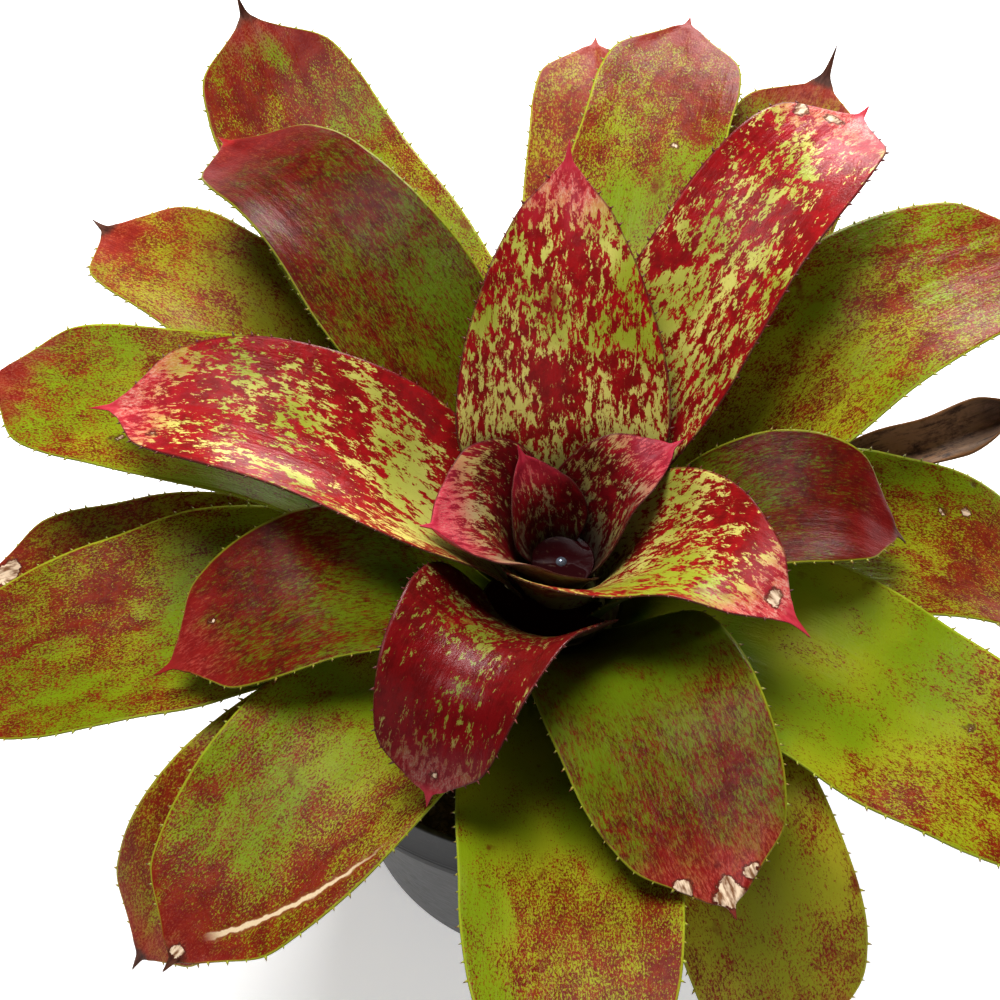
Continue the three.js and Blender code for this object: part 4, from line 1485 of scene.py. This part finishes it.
class BROMELIAD_OT_dried(bpy.types.Operator):
    """Grow the dead, curled leaf"""

    bl_idname = "bromeliad.dried"
    bl_label = "Dried leaf"

    def execute(self, context):
        grow_leaves(context, "dried")
        return {"FINISHED"}


SOFTBOXES = {
    "key": (0.8, (-0.25, 0.35, 1.45)),
    "back": (0.6, (0.25, 1.35, 0.62)),
    "fill": (1.2, (0.6, -1.2, 0.9)),
}  # the width and the place of each light


class BROMELIAD_OT_stage(bpy.types.Operator):
    """Set up the pale floor, the soft studio lights and the camera"""

    bl_idname = "bromeliad.stage"
    bl_label = "Stage"

    def execute(self, context):
        look = context.scene.bromeliad_stage
        scene = context.scene
        floor = bpy.data.meshes.new("floor")
        half = look.floor / 2
        corners = [(-half, -half, 0), (half, -half, 0), (half, half, 0), (-half, half, 0)]
        floor.from_pydata(corners, [], [(0, 1, 2, 3)])
        floor.materials.append(floor_finish("pale_floor", look.floor_colour, look.floor_glow))
        ground = bpy.data.objects.new("floor", floor)
        scene.collection.objects.link(ground)

        camera = bpy.data.cameras.new("camera")
        camera.lens = look.lens
        camera.sensor_width = SENSOR
        camera.clip_start = 0.01
        view = bpy.data.objects.new("camera", camera)
        view.location = look.camera_place
        view.rotation_euler = (look.camera_tilt, 0, 0)
        scene.collection.objects.link(view)
        scene.camera = view

        middle = Vector((0, 0, WATER_LEVEL))
        for name, (size, place) in SOFTBOXES.items():
            self.softbox(scene, name, getattr(look, name), size, Vector(place), middle)
        world = bpy.data.worlds.new("studio")
        world.use_nodes = True
        sky = world.node_tree.nodes["Background"]
        sky.inputs["Color"].default_value = (0.95, 0.97, 1.0, 1.0)
        sky.inputs["Strength"].default_value = look.sky
        scene.world = world
        scene.view_settings.view_transform = "Standard"
        scene.view_settings.exposure = look.exposure
        scene.view_settings.gamma = look.gamma
        return {"FINISHED"}

    @staticmethod
    def softbox(scene, name, watts, size, place, target):
        """A square area light that faces the plant."""
        lamp = bpy.data.lights.new(name, "AREA")
        lamp.energy = watts
        lamp.size = size
        light = bpy.data.objects.new(name, lamp)
        light.location = place
        light.rotation_euler = (target - place).to_track_quat("-Z", "Y").to_euler()
        scene.collection.objects.link(light)


class BROMELIAD_PT_panel(bpy.types.Panel):
    """Everything that the bromeliad is built from"""

    bl_idname = "BROMELIAD_PT_panel"
    bl_label = "Bromeliad"
    bl_space_type = "VIEW_3D"
    bl_region_type = "UI"
    bl_category = "Bromeliad"

    def draw(self, context):
        for operator in OPERATORS:
            self.layout.operator(operator.bl_idname)
        for name in SETTINGS:
            box = self.layout.box()
            group = getattr(context.scene, name)
            for key in group.__annotations__:
                box.prop(group, key)


SETTINGS = {
    "bromeliad_stage": StageSettings,
    "bromeliad_pot": PotSettings,
    "bromeliad_mix": MixSettings,
    "bromeliad_water": WaterSettings,
    "bromeliad_blade": BladeSettings,
    "bromeliad_cup": CupLook,
    "bromeliad_heart": HeartLook,
    "bromeliad_middle": MiddleLook,
    "bromeliad_outer": OuterLook,
    "bromeliad_low": LowLook,
    "bromeliad_dried": DriedLook,
}
OPERATORS = (
    BROMELIAD_OT_stage,
    BROMELIAD_OT_pot,
    BROMELIAD_OT_mix,
    BROMELIAD_OT_stem,
    BROMELIAD_OT_water,
    BROMELIAD_OT_heart,
    BROMELIAD_OT_middle,
    BROMELIAD_OT_outer,
    BROMELIAD_OT_low,
    BROMELIAD_OT_dried,
)


def register():
    for group in SETTINGS.values():
        bpy.utils.register_class(group)
    for operator in OPERATORS:
        bpy.utils.register_class(operator)
    bpy.utils.register_class(BROMELIAD_PT_panel)
    for name, group in SETTINGS.items():
        setattr(bpy.types.Scene, name, PointerProperty(type=group))


def unregister():
    for name in SETTINGS:
        delattr(bpy.types.Scene, name)
    bpy.utils.unregister_class(BROMELIAD_PT_panel)
    for operator in reversed(OPERATORS):
        bpy.utils.unregister_class(operator)
    for group in SETTINGS.values():
        bpy.utils.unregister_class(group)


def main():
    register()
    for operator in OPERATORS:
        getattr(bpy.ops.bromeliad, operator.bl_idname.removeprefix("bromeliad."))()


if __name__ == "__main__":
    main()
